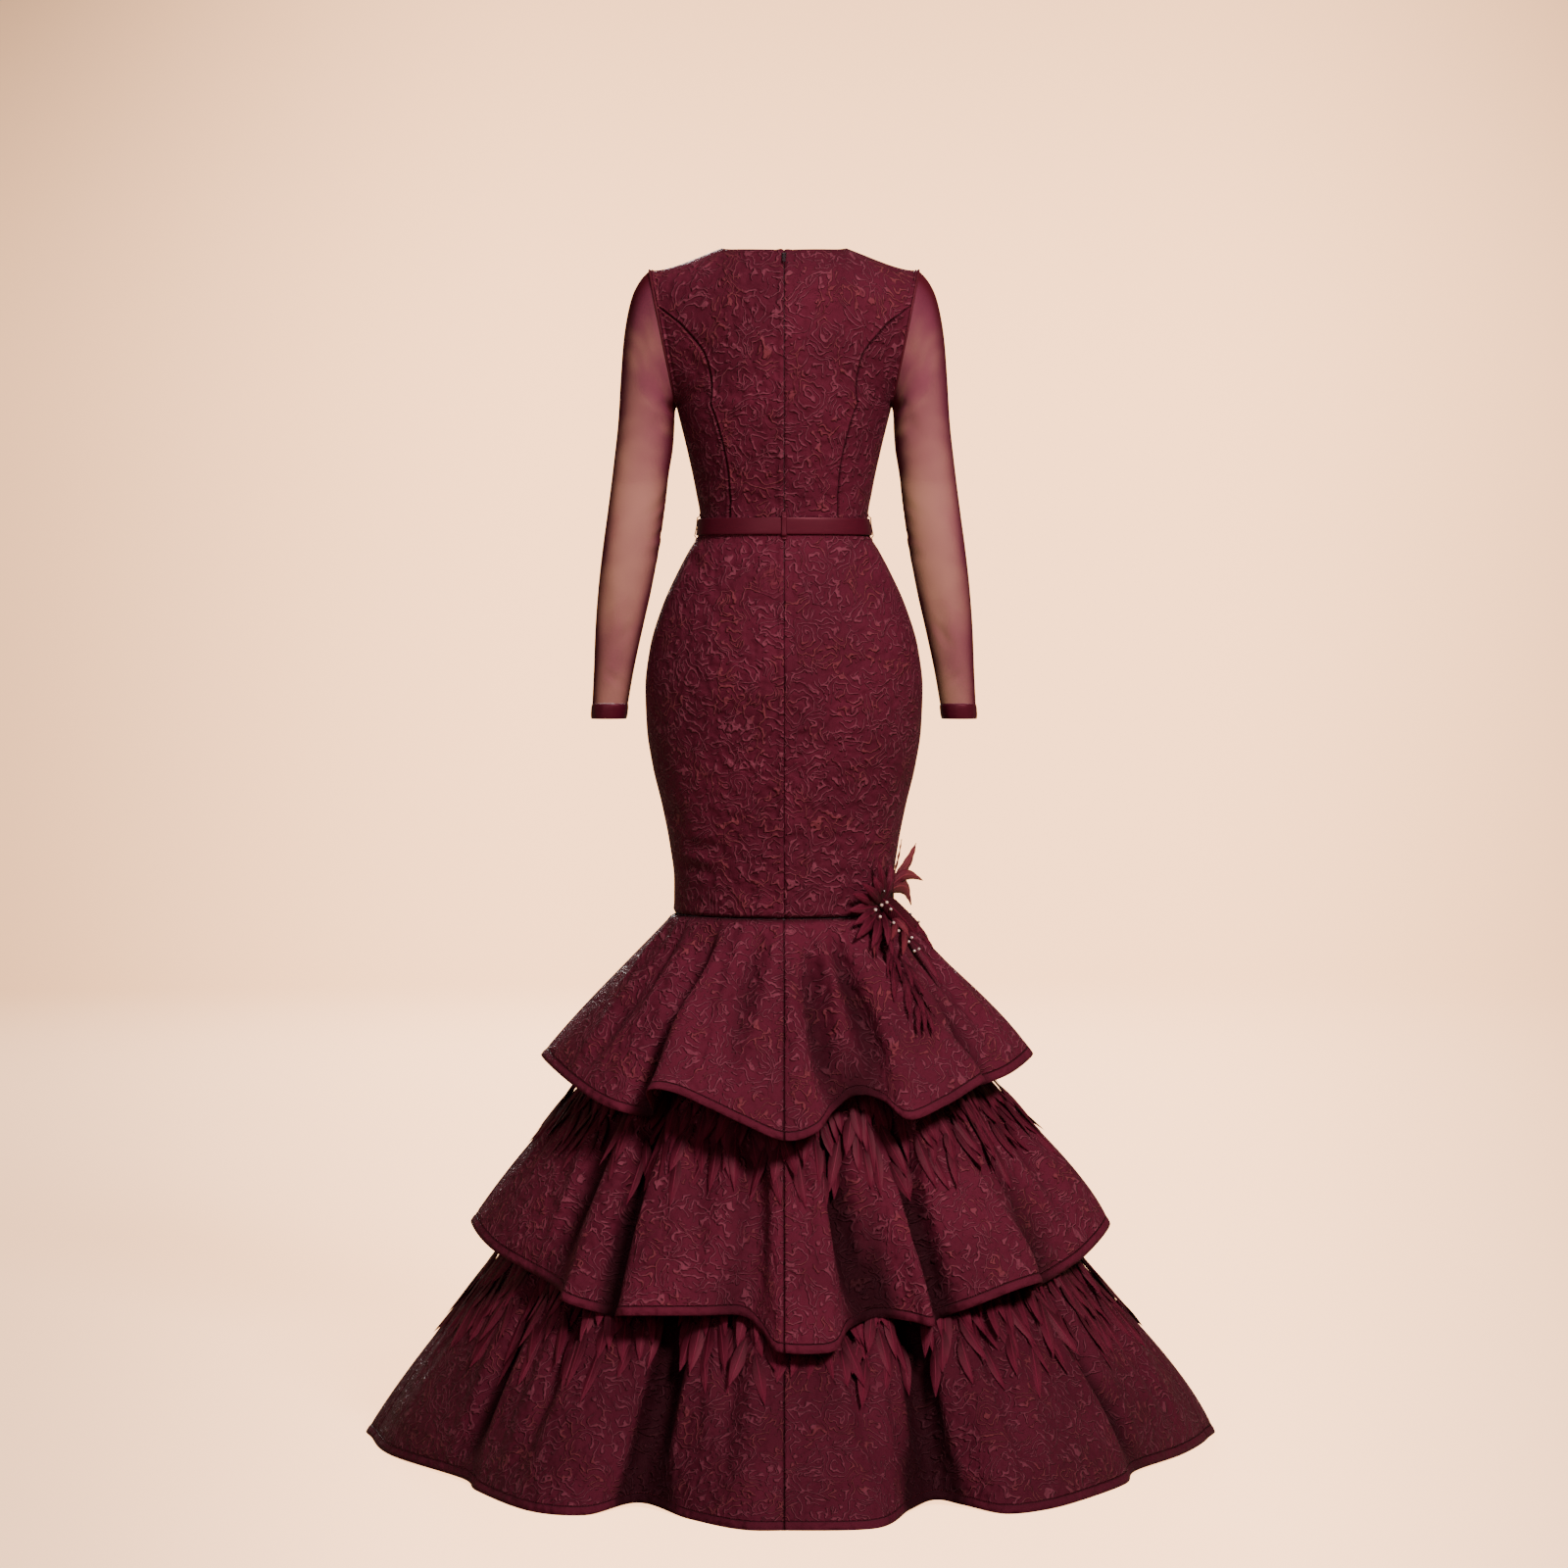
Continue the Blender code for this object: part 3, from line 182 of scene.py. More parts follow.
TIER_3_FOLDS = rows_of(
    Fold,
    (-98, 0.526, 0.0), (-90, 0.514, 0.0), (-78, 0.491, 0.0), (-57, 0.455, 0.003), (-50, 0.470, 0.0),
    (-36, 0.500, 0.0), (-28, 0.484, 0.0), (-23.5, 0.420, 0.005), (-14, 0.4575, 0.0), (-6, 0.500, 0.0),
    (0, 0.504, 0.0), (12, 0.504, 0.0), (19, 0.440, 0.003), (25, 0.413, 0.006), (28, 0.440, 0.003),
    (31, 0.490, 0.0), (37, 0.500, 0.0), (45, 0.492, 0.0), (57, 0.482, 0.0), (64, 0.468, 0.003),
    (79, 0.497, 0.0), (90, 0.529, 0.0), (98, 0.541, 0.0), (113, 0.462, 0.005), (127, 0.505, 0.0),
    (138, 0.478, 0.0), (148, 0.428, 0.006), (160, 0.500, 0.0), (170, 0.490, 0.0), (180, 0.462, 0.003),
    (189, 0.430, 0.006), (200, 0.498, 0.0), (210, 0.490, 0.0), (221, 0.428, 0.006), (234, 0.505, 0.0),
    (249, 0.458, 0.005),
)
Tier = namedtuple("Tier", "folds top_height top_half_width top_depths bow_left bow_right")
TIERS = (
    Tier(TIER_1_FOLDS, KNEE_HEIGHT, 0.1360, (0.110, 0.106), 0.004, 0.009),
    Tier(TIER_2_FOLDS, SECOND_SEAM_HEIGHT, 0.2075, (0.1625, 0.1625), 0.006, 0.015),
    Tier(TIER_3_FOLDS, THIRD_SEAM_HEIGHT, 0.3100, (0.2220, 0.2220), 0.007, 0.017),
)
HEM_STEPS = 24
BOW_PEAK = 4 / 27

# -------------------------------------------------------------------------- creases

# A crease runs from one place to another on its cloth. Width and depth are in metres and a ridge has a
# negative depth. It is soft at both ends, or deepest at its start where root is 1.
Crease = namedtuple("Crease", "turn level to_turn to_level width depth root")
BACK_CREASES = rows_of(
    Crease,
    (62, 1.352, 40, 1.325, 0.010, 0.0016, 1), (66, 1.338, 36, 1.300, 0.012, 0.0014, 1),
    (-60, 1.356, -42, 1.330, 0.011, 0.0015, 1), (-66, 1.335, -38, 1.306, 0.010, 0.0014, 1),
    (58, 1.178, 24, 1.171, 0.007, 0.0014, 0), (72, 1.196, 40, 1.186, 0.008, 0.0013, 0),
    (-54, 1.174, -20, 1.169, 0.007, 0.0014, 0), (-76, 1.200, -44, 1.188, 0.008, 0.0012, 0),
    (30, 1.245, 12, 1.232, 0.009, 0.0008, 0), (-26, 1.250, -10, 1.236, 0.010, 0.0008, 0),
    (14, 1.420, 34, 1.440, 0.012, 0.0010, 0), (-16, 1.424, -36, 1.441, 0.012, 0.0009, 0),
)
FRONT_CREASES = rows_of(
    Crease,
    (70, 1.345, 44, 1.318, 0.010, 0.0017, 1), (-72, 1.348, -46, 1.322, 0.011, 0.0016, 1),
    (60, 1.176, 22, 1.170, 0.007, 0.0014, 0), (-56, 1.179, -18, 1.172, 0.008, 0.0013, 0),
    (76, 1.204, 40, 1.194, 0.009, 0.0014, 0), (-74, 1.199, -42, 1.190, 0.008, 0.0013, 0),
    (16, 1.300, -14, 1.296, 0.012, 0.0012, 0), (24, 1.420, 40, 1.438, 0.011, 0.0010, 0),
    (-22, 1.422, -42, 1.440, 0.011, 0.0010, 0),
)
SKIRT_CREASES = rows_of(
    Crease,
    (66, 0.742, 30, 0.733, 0.009, 0.0016, 0), (58, 0.716, 18, 0.711, 0.008, 0.0015, 0),
    (-62, 0.748, -26, 0.737, 0.009, 0.0016, 0), (-70, 0.722, -30, 0.714, 0.008, 0.0017, 0),
    (26, 0.758, -8, 0.752, 0.011, 0.0010, 0), (80, 0.786, 52, 0.770, 0.011, 0.0014, 0),
    (-84, 0.792, -54, 0.776, 0.012, 0.0014, 0), (12, 0.686, -24, 0.690, 0.007, 0.0011, 0),
    (76, 1.094, 40, 1.082, 0.009, 0.0013, 0), (-78, 1.098, -42, 1.084, 0.009, 0.0013, 0),
    (8, 0.940, 30, 0.905, 0.016, 0.0010, 0), (-10, 0.925, -34, 0.895, 0.017, 0.0010, 0),
    (110, 0.750, 146, 0.738, 0.010, 0.0016, 0), (118, 0.722, 160, 0.714, 0.008, 0.0015, 0),
    (246, 0.746, 212, 0.736, 0.010, 0.0016, 0), (240, 0.718, 196, 0.711, 0.008, 0.0015, 0),
    (100, 1.090, 140, 1.078, 0.009, 0.0013, 0), (258, 1.092, 222, 1.080, 0.009, 0.0013, 0),
    (160, 0.900, 196, 0.880, 0.018, 0.0012, 0), (150, 0.800, 178, 0.786, 0.013, 0.0013, 0),
)
SKIRT_DARTS = rows_of(
    Crease,
    (43, 1.125, 36, 1.005, 0.0022, 0.0016, 1), (-43, 1.125, -36, 1.005, 0.0022, 0.0016, 1),
    (140, 1.125, 146, 1.030, 0.0022, 0.0015, 1), (220, 1.125, 214, 1.030, 0.0022, 0.0015, 1),
)
# On a sleeve the turn passes from the outer line towards the back, and the level counts its rings.
SLEEVE_CREASES = rows_of(
    Crease,
    (168, 7.6, 104, 8.3, 0.007, 0.0016, 1), (166, 8.1, 112, 8.5, 0.006, 0.0017, 1),
    (170, 8.5, 108, 8.8, 0.007, 0.0016, 1), (172, 9.0, 122, 9.1, 0.007, 0.0014, 1),
    (196, 7.9, 250, 8.5, 0.007, 0.0016, 1), (192, 8.6, 245, 8.8, 0.006, 0.0015, 1),
    (160, 1.4, 112, 3.6, 0.007, 0.0016, 1), (156, 1.9, 108, 4.8, 0.006, 0.0017, 1),
    (152, 2.6, 98, 5.8, 0.007, 0.0015, 1), (150, 3.8, 92, 6.4, 0.008, 0.0013, 0),
    (60, 0.6, 74, 4.4, 0.010, 0.0014, 1), (96, 0.5, 92, 3.6, 0.008, 0.0013, 1),
    (40, 9.3, 70, 11.8, 0.009, 0.0012, 0), (120, 9.6, 100, 12.4, 0.009, 0.0013, 0),
    (144, 10.6, 80, 11.6, 0.006, 0.0011, 0), (60, 12.0, 140, 12.5, 0.005, 0.0012, 0),
    (300, 1.0, 276, 4.2, 0.009, 0.0014, 1), (250, 0.8, 262, 3.4, 0.008, 0.0014, 1),
    (320, 9.6, 290, 12.2, 0.010, 0.0012, 0), (240, 9.8, 262, 12.0, 0.009, 0.0012, 0),
)
# A valley runs down a flounce between two folds, and a gather starts at its seam and fades. Each row gives
# the turn at the top, the turn and the fall at the end, the width and the depth.
VALLEY_START = -0.05
FLOUNCE_VALLEYS = (
    (
        (-61, -66, 0.94, 0.016, 0.0100), (-35, -42, 0.97, 0.017, 0.0170), (-13, -15, 0.90, 0.014, 0.0070),
        (9, 13, 0.97, 0.015, 0.0180), (24, 30, 0.97, 0.015, 0.0160), (47, 60, 0.97, 0.014, 0.0150),
        (74, 76, 0.94, 0.015, 0.0090), (105, 106, 0.97, 0.017, 0.0150), (142, 144, 0.97, 0.016, 0.0160),
        (168, 170, 0.92, 0.014, 0.0080), (196, 194, 0.97, 0.016, 0.0160), (234, 233, 0.97, 0.017, 0.0150),
    ),
    (
        (-55, -57, 0.97, 0.018, 0.0160), (-38, -40, 0.97, 0.016, 0.0180), (-22, -20, 0.94, 0.015, 0.0080),
        (-9, -9, 0.96, 0.014, 0.0100), (12, 16, 0.97, 0.016, 0.0200), (30, 34, 0.97, 0.016, 0.0200),
        (48, 60, 0.97, 0.016, 0.0160), (76, 78, 0.95, 0.016, 0.0100), (106, 107, 0.97, 0.018, 0.0160),
        (141, 142, 0.97, 0.017, 0.0170), (170, 172, 0.97, 0.017, 0.0160), (207, 208, 0.97, 0.017, 0.0160),
        (246, 244, 0.97, 0.018, 0.0160),
    ),
    (
        (-58, -60, 0.97, 0.020, 0.0190), (-42, -45, 0.95, 0.016, 0.0110), (-20, -23, 0.97, 0.018, 0.0210),
        (-8, -9, 0.93, 0.016, 0.0080), (11, 13, 0.95, 0.017, 0.0130), (25, 26, 0.97, 0.018, 0.0220),
        (39, 41, 0.95, 0.016, 0.0120), (59, 65, 0.97, 0.020, 0.0190), (80, 80, 0.94, 0.017, 0.0100),
        (114, 115, 0.97, 0.019, 0.0180), (147, 148, 0.97, 0.018, 0.0190), (168, 166, 0.94, 0.016, 0.0100),
        (188, 187, 0.97, 0.018, 0.0190), (220, 221, 0.97, 0.018, 0.0190), (248, 248, 0.97, 0.019, 0.0170),
    ),
)
FLOUNCE_GATHERS = (
    (
        (-74, -70, 0.62, 0.011, 0.0050), (-60, -57, 0.80, 0.008, 0.0040), (-37, -38.5, 0.70, 0.008, 0.0050),
        (-24, -25, 0.55, 0.009, 0.0045), (-12, -14, 0.84, 0.012, 0.0052), (4, 3, 0.50, 0.007, 0.0032),
        (24, 25, 0.62, 0.008, 0.0050), (36, 36, 0.72, 0.009, 0.0047), (48, 47, 0.52, 0.008, 0.0037),
        (78, 80, 0.60, 0.009, 0.0042), (122, 124, 0.58, 0.009, 0.0045), (162, 161, 0.50, 0.008, 0.0037),
        (213, 214, 0.54, 0.009, 0.0042), (252, 250, 0.56, 0.009, 0.0040),
    ),
    (
        (-82, -80, 0.70, 0.011, 0.0050), (-50, -51, 0.74, 0.011, 0.0057), (-25, -23, 0.70, 0.011, 0.0050),
        (2, 3, 0.52, 0.008, 0.0037), (24, 25, 0.64, 0.009, 0.0050), (47, 46, 0.66, 0.011, 0.0050),
        (72, 72, 0.62, 0.009, 0.0042), (83, 84, 0.80, 0.011, 0.0047), (126, 124, 0.60, 0.011, 0.0047),
        (157, 158, 0.58, 0.009, 0.0042), (196, 195, 0.60, 0.009, 0.0045), (228, 228, 0.60, 0.011, 0.0045),
    ),
    (
        (-82, -84, 0.80, 0.013, 0.0050), (-43, -44, 0.70, 0.011, 0.0055), (-31, -32, 0.66, 0.012, 0.0052),
        (-9, -10, 0.70, 0.012, 0.0050), (6, 6, 0.62, 0.012, 0.0045), (34, 35, 0.60, 0.011, 0.0047),
        (76, 75, 0.72, 0.013, 0.0055), (88, 90, 0.70, 0.012, 0.0045), (132, 131, 0.62, 0.012, 0.0050),
        (166, 165, 0.62, 0.012, 0.0050), (205, 205, 0.60, 0.011, 0.0047), (238, 237, 0.60, 0.012, 0.0050),
    ),
)
UNDERSKIRT_CREASES = rows_of(
    Crease,
    (-60, 0.60, -64, 0.36, 0.014, 0.0030, 0), (-20, 0.62, -18, 0.40, 0.013, 0.0030, 0),
    (34, 0.60, 38, 0.34, 0.014, 0.0032, 0), (74, 0.58, 76, 0.36, 0.013, 0.0028, 0),
    (120, 0.61, 124, 0.38, 0.014, 0.0030, 0), (176, 0.60, 172, 0.36, 0.013, 0.0030, 0),
    (228, 0.62, 226, 0.40, 0.014, 0.0030, 0),
)
CREASE_STEPS = 64
# A crease's low lips lie LIP_PLACE widths aside, and past CREASE_REACH widths it is no longer felt.
CREASE_REACH = 2.6
CREASE_LIP = 0.35
LIP_PLACE = 1.7
LIP_SHARPNESS = 2.2

# ------------------------------------------------------------------------------ the gown's surfaces


class Curve:
    """A smooth line through values that never overshoots them."""

    def __init__(self, places, values):
        self.places = np.array(places, float)
        self.values = np.array(values, float)
        steps = np.diff(self.places)
        rises = np.diff(self.values) / steps
        self.slopes = np.zeros(len(self.places))
        self.slopes[0], self.slopes[-1] = rises[0], rises[-1]
        for i in range(1, len(rises)):
            if rises[i - 1] * rises[i] > 0:
                before = steps[i - 1] + 2 * steps[i]
                after = 2 * steps[i - 1] + steps[i]
                self.slopes[i] = (before + after) / (before / rises[i - 1] + after / rises[i])

    def __call__(self, place):
        i = np.clip(np.searchsorted(self.places, place) - 1, 0, len(self.places) - 2)
        step = self.places[i + 1] - self.places[i]
        t = np.clip((place - self.places[i]) / step, 0, 1)
        leaving = step * self.slopes[i] * (t**3 - 2 * t * t + t)
        arriving = step * self.slopes[i + 1] * (t**3 - t * t)
        return mix(self.values[i], self.values[i + 1], t * t * (3 - 2 * t)) + leaving + arriving


def mix(start, end, share):
    return start + (end - start) * share


def curves_of(table, key=None):
    places = [getattr(row, key) for row in table] if key else range(len(table))
    names = [name for name in table[0]._fields if name != key]
    return {name: Curve(places, [getattr(row, name) for row in table]) for name in names}


def lengths_along(points):
    """How far each point of a line lies from its start."""
    return np.concatenate([[0.0], np.cumsum(np.linalg.norm(np.diff(points, axis=0), axis=1))])


def hump(distance, width):
    """A soft rise that is 1 where the distance is 0 and fades within about two widths."""
    return np.exp(-((distance / width) ** 2))


def above_floor(x, y, height):
    return np.stack(np.broadcast_arrays(x, y, height - SHOULDER_HEIGHT), axis=-1)


class Surface:
    """A form that cloth is laid on. Facing is 1 where cloth faces out as its turns and levels grow, or -1."""

    facing = 1

    def trimmed(self, turn, level):
        return level

    def slopes(self, turn, level):
        along = self.points(turn + 0.4, level) - self.points(turn - 0.4, level)
        onward = self.points(turn, level + 0.001) - self.points(turn, level - 0.001)
        return unit(along), unit(onward)

    def normals(self, turn, level):
        along, onward = self.slopes(turn, level)
        return unit(np.cross(along, onward) * self.facing)

    def raised(self, turn, level, stand):
        turn, level = np.asarray(turn, float), np.asarray(level, float)
        return self.points(turn, level) + self.normals(turn, level) * np.asarray(stand)[..., None]


def unit(vectors):
    return vectors / np.maximum(np.linalg.norm(vectors, axis=-1, keepdims=True), 1e-12)


class Tube(Surface):
    """Cloth round the body through level rings."""

    def __init__(self, rings):
        self.columns = curves_of(rings, "height")

    def points(self, turn, height):
        angle = np.radians(turn)
        depth = np.where(np.cos(angle) > 0, self.columns["back"](height), self.columns["front"](height))
        return above_floor(-self.columns["half_width"](height) * np.sin(angle), depth * np.cos(angle), height)


class Bodice(Surface):
    """One side of the bodice. Its turns start at its own centre line and run to the side seam at 90."""

    def __init__(self, side):
        self.facing = 1 if side == "back" else -1
        self.centre = curves_of(UPPER_CENTRE, "rise")[side]
        self.neck_depth = NECK_DEPTHS[side]

    def points(self, turn, level):
        turn, level = np.broadcast_arrays(np.asarray(turn, float), np.asarray(level, float))
        lower = BODY.points(turn if self.facing > 0 else 180 - turn, np.minimum(level, UNDERARM_HEIGHT))
        rise = np.maximum(level - UNDERARM_HEIGHT, 0) / UPPER_RISE
        wrap = mix(1.0, ARMHOLE_WRAP, np.minimum(rise / ARMHOLE_WRAP_RISE, 1))
        arc, widest = np.radians(wrap * np.abs(turn)), np.radians(wrap * 90)
        share = np.sin(arc) / np.sin(widest)
        crown = (np.cos(arc) - np.cos(widest)) / (1 - np.cos(widest))
        climb = (1 - np.cos(math.pi * rise)) / 2
        edge_reach = mix(UNDERARM_REACH, TIP_REACH, climb)
        edge_depth = ARMHOLE_HALF_DEPTH * np.sin(math.pi * rise)
        edge_height = mix(UNDERARM_HEIGHT, TIP_HEIGHT, climb)
        depth = mix(edge_depth, self.centre(rise) * (1 - rise**SHOULDER_ROLL), crown)
        lean = math.radians(SHOULDER_LEAN)
        height = mix(UNDERARM_HEIGHT, self.ridge(share * TIP_REACH), np.sin(rise * lean) / math.sin(lean))
        height = mix(height, edge_height, share**ARMHOLE_PULL)
        upper = above_floor(-np.copysign(edge_reach * share, turn), self.facing * depth, height)
        return np.where((level <= UNDERARM_HEIGHT)[..., None], lower, upper)

    def ridge(self, reach):
        over_neck = mix(RIDGE_HEIGHT, NECK_HEIGHT, (reach / NECK_REACH) ** 2)
        shoulder = mix(NECK_HEIGHT, TIP_HEIGHT, (reach - NECK_REACH) / (TIP_REACH - NECK_REACH))
        return np.where(reach < NECK_REACH, over_neck, shoulder)

    def in_neck(self, turn, rise):
        place = self.points(turn, UNDERARM_HEIGHT + rise * UPPER_RISE)
        return (place[..., 0] / NECK_REACH) ** 2 + (place[..., 1] / self.neck_depth) ** 2 < 1

    def trimmed(self, turn, level):
        """Rows above the underarm close up under the neckline."""
        low, high = np.zeros(turn.shape), np.full(turn.shape, NEARLY_TOP)
        for _ in range(NECK_HALVINGS):
            middle = (low + high) / 2
            inside = self.in_neck(turn, middle)
            low, high = np.where(inside, low, middle), np.where(inside, middle, high)
        cut = (level > UNDERARM_HEIGHT) & self.in_neck(turn, np.full(turn.shape, NEARLY_TOP))
        return np.where(cut, UNDERARM_HEIGHT + (level - UNDERARM_HEIGHT) * low, level)


class Flounce(Surface):
    """A flounce from a level ring to a folded hem. Each quarter of its top carries a quarter of its hem."""

    facing = -1

    def __init__(self, tier):
        self.tier = tier
        turns = np.radians([fold.turn for fold in tier.folds])
        reaches = np.array([fold.reach for fold in tier.folds])
        heights = np.array([fold.height for fold in tier.folds])
        self.hem = above_floor(-reaches * np.sin(turns), reaches * np.cos(turns), heights)
        starts = [i for i, fold in enumerate(tier.folds) if fold.turn in (-90, 0, 90, 180)]
        ends = starts[1:] + [starts[0] + len(self.hem)]
        self.quarters = [self.measure(start, end) for start, end in zip(starts, ends)]

    def measure(self, first, last):
        points = []
        for i in range(first, last):
            a, b, c, d = (self.hem[(i + k) % len(self.hem)] for k in (-1, 0, 1, 2))
            for step in range(HEM_STEPS):
                t = step / HEM_STEPS
                bend = (2 * a - 5 * b + 4 * c - d) * t**2 + (3 * b - a - 3 * c + d) * t**3
                points.append(b + ((c - a) * t + bend) / 2)
        points.append(self.hem[last % len(self.hem)])
        points = np.array(points)
        lengths = lengths_along(points)
        return lengths / lengths[-1], points

    def hem_points(self, turn):
        place = (np.asarray(turn, float) + 90) % 360
        quarter = np.floor(place / 90).astype(int)
        share = place / 90 - quarter
        found = np.zeros(place.shape + (3,))
        for number, (shares, points) in enumerate(self.quarters):
            here = quarter == number
            for axis in range(3):
                along = np.interp(share, shares, points[:, axis])
                found[..., axis] = np.where(here, along, found[..., axis])
        return found

    def points(self, turn, fall):
        turn, fall = np.broadcast_arrays(np.asarray(turn, float), np.asarray(fall, float))
        angle = np.radians(turn)
        depth = np.where(np.cos(angle) > 0, *self.tier.top_depths)
        width = self.tier.top_half_width
        top = above_floor(-width * np.sin(angle), depth * np.cos(angle), self.tier.top_height)
        most = np.where(np.sin(angle) > 0, self.tier.bow_right, self.tier.bow_left)
        bow = most * np.sin(angle) ** 2 * fall**2 * (1 - fall) / BOW_PEAK
        swelling = np.stack([-bow * np.sin(angle), bow * np.cos(angle), np.zeros(bow.shape)], axis=-1)
        return mix(top, self.hem_points(turn), fall[..., None]) + swelling


class Sleeve(Surface):
    """A sleeve or cuff. Side is 1 for the wearer's left arm and -1 for the right."""

    def __init__(self, side, rings):
        self.side = side
        self.facing = -side
        self.columns = curves_of(rings)

    def points(self, turn, level):
        ring = {name: curve(level) for name, curve in self.columns.items()}
        swing = np.cos(np.radians(turn))
        reach = mix((ring["outer"] + ring["inner"]) / 2, ring["outer"], swing)
        height = mix((ring["outer_height"] + ring["inner_height"]) / 2, ring["outer_height"], swing)
        depth = ring["middle"] + ring["half_depth"] * np.sin(np.radians(turn))
        return above_floor(self.side * reach, depth, height)


class Strap(Surface):
    """A strip over another surface, which stands off it by a height that a Curve gives."""

    def __init__(self, surface, stands):
        self.surface = surface
        self.stands = stands
        self.facing = surface.facing

    def points(self, turn, level):
        return self.surface.raised(turn, level, self.stands(level))


BODY = Tube(BODY_RINGS)
UNDERSKIRT = Tube(UNDERSKIRT_RINGS)
BODICES = {"back": Bodice("back"), "front": Bodice("front")}
FLOUNCES = [Flounce(tier) for tier in TIERS]

# ------------------------------------------------------------------------------------- laying cloth

SEAM_WIDTH = 0.0015
SEAM_DEPTH = 0.0018
SEAM_LIP = 0.0009
SEAM_SHADE = 0.75
GROOVE_LIP_PLACE = 2.2
FLOUNCE_SEAM = {"depth": 0.0013, "lip": 0.0004}
LINING_SEAM = {"depth": 0.0010, "lip": 0.0004}
KNEE_SEAM = {"width": 0.0026, "depth": 0.0015, "lip": 0.0008}


class Cloth:
    """A grid of points laid on a surface, with its turns, levels and the distances along it."""

    def __init__(self, surface, levels, shares, left, right, closed=False):
        levels, shares = np.asarray(levels, float), np.asarray(shares, float)
        lefts = np.array([left(level) if callable(left) else left for level in levels], float)
        rights = np.array([right(level) if callable(right) else right for level in levels], float)
        self.surface = surface
        self.closed = closed
        self.turns = lefts[:, None] + (rights - lefts)[:, None] * shares[None, :]
        self.levels = surface.trimmed(self.turns, np.repeat(levels[:, None], len(shares), axis=1))
        self.base = surface.points(self.turns, self.levels)
        self.normals = surface.normals(self.turns, self.levels)
        for axis in (0, 1):
            on_seam = np.abs(self.base[..., axis]) < SEAM_GAP
            self.normals[..., axis] = np.where(on_seam, 0, self.normals[..., axis])
        self.normals = unit(self.normals)
        self.from_left = self.arc(1)
        self.from_right = self.from_left[:, -1:] - self.from_left
        self.from_first = self.arc(0)
        self.from_last = self.from_first[-1:] - self.from_first
        self.relief = np.zeros(self.turns.shape)
        # Painted shade along the seam grooves, from 0 to 1, which the hollow attribute carries to the
        # jacquard.
        self.lines = np.zeros(self.turns.shape)

    def arc(self, axis):
        steps = np.linalg.norm(np.diff(self.base, axis=axis), axis=-1)
        start = np.zeros_like(np.take(steps, [0], axis=axis))
        return np.concatenate([start, np.cumsum(steps, axis=axis)], axis=axis)

    def crease(self, table):
        """Adds soft troughs and ridges from a table of creases."""
        flat = self.base.reshape(-1, 3)
        relief = self.relief.reshape(-1)
        for row in table:
            steps = np.linspace(0, 1, CREASE_STEPS)
            path = self.surface.points(mix(row.turn, row.to_turn, steps), mix(row.level, row.to_level, steps))
            margin = CREASE_REACH * row.width
            near = np.all((flat > path.min(axis=0) - margin) & (flat < path.max(axis=0) + margin), axis=1)
            if not near.any():
                continue
            gaps = np.linalg.norm(flat[near][:, None] - path[None], axis=2)
            share = steps[gaps.argmin(axis=1)]
            fade = np.cos(share * math.pi / 2) ** 0.8 if row.root else np.sin(share * math.pi)
            across = gaps.min(axis=1) / row.width
            lip = np.exp(-((across - LIP_PLACE) ** 2) * LIP_SHARPNESS)
            trough = np.exp(-(across**2)) - CREASE_LIP * lip
            relief[near] -= row.depth * fade * trough
        return self

    def groove(self, distance, width, depth, lip):
        """Adds a narrow trough along a border or line, with a low lip on each side of it, and painted shade
        in it.
        """
        self.relief -= depth * hump(distance, width)
        self.lines = np.maximum(self.lines, SEAM_SHADE * hump(distance, width))
        self.relief += lip * hump(np.abs(distance) - GROOVE_LIP_PLACE * width, width)
        return self

    def seam(self, distance, depth=SEAM_DEPTH, lip=SEAM_LIP):
        return self.groove(distance, SEAM_WIDTH, depth, lip)

    def placed(self):
        points = self.base + self.normals * self.relief[..., None]
        if not self.closed:
            along, _ = self.surface.slopes(self.turns, self.levels)
            points[:, 0] -= along[:, 0] * CLOTH_LAP
            points[:, -1] += along[:, -1] * CLOTH_LAP
        return points

    def flat_map(self, anchor, offset):
        """The cloth laid flat: distance from one column, and distance down that column."""
        across = self.from_left - self.from_left[:, anchor : anchor + 1 or None]
        down = np.repeat(self.from_first[:, anchor : anchor + 1 or None], across.shape[1], axis=1)
        return np.stack([across + offset, down + 0.6 * offset], axis=-1)

    def fan_map(self, offset):
        """A flounce laid flat, as a part of a ring."""
        top, hem = self.from_left[0, -1], self.from_left[-1, -1]
        slant = self.from_first[-1].mean()
        inner = top * slant / (hem - top)
        angle = self.from_left / self.from_left[:, -1:] * (top / inner)
        radius = inner + self.from_first
        return np.stack([radius * np.sin(angle) + offset, radius * np.cos(angle) + 0.6 * offset], axis=-1)


def linked(name, data):
    """An object of the scene with this mesh, light or camera."""
    made = bpy.data.objects.new(name, data)
    bpy.context.scene.collection.objects.link(made)
    return made


def mesh_object(name, points, faces, maps):
    """A smooth mesh object, with its flat map as UVs in metres."""
    mesh = bpy.data.meshes.new(name)
    mesh.from_pydata(points.reshape(-1, 3).tolist(), [], faces.reshape(-1, 4).tolist())
    mesh.uv_layers.new(name="UVMap").data.foreach_set("uv", maps.ravel())
    mesh.shade_smooth()
    return linked(name, mesh)


def grid_object(name, points, flat, facing, closed=False):
    """A mesh object from a grid of points. The last column of a closed grid is its first one again."""
    rows, columns = points.shape[:2]
    across = columns - 1 if closed else columns
    j, i = np.meshgrid(np.arange(rows - 1), np.arange(columns - 1), indexing="ij")
    corners = [(j, i), (j, i + 1), (j + 1, i + 1), (j + 1, i)]
    if facing < 0:
        corners.reverse()
    faces = np.stack([row * across + column % across for row, column in corners], axis=-1)
    maps = np.stack([flat[row, column] for row, column in corners], axis=-2)
    return mesh_object(name, points[:, :across], faces, maps)
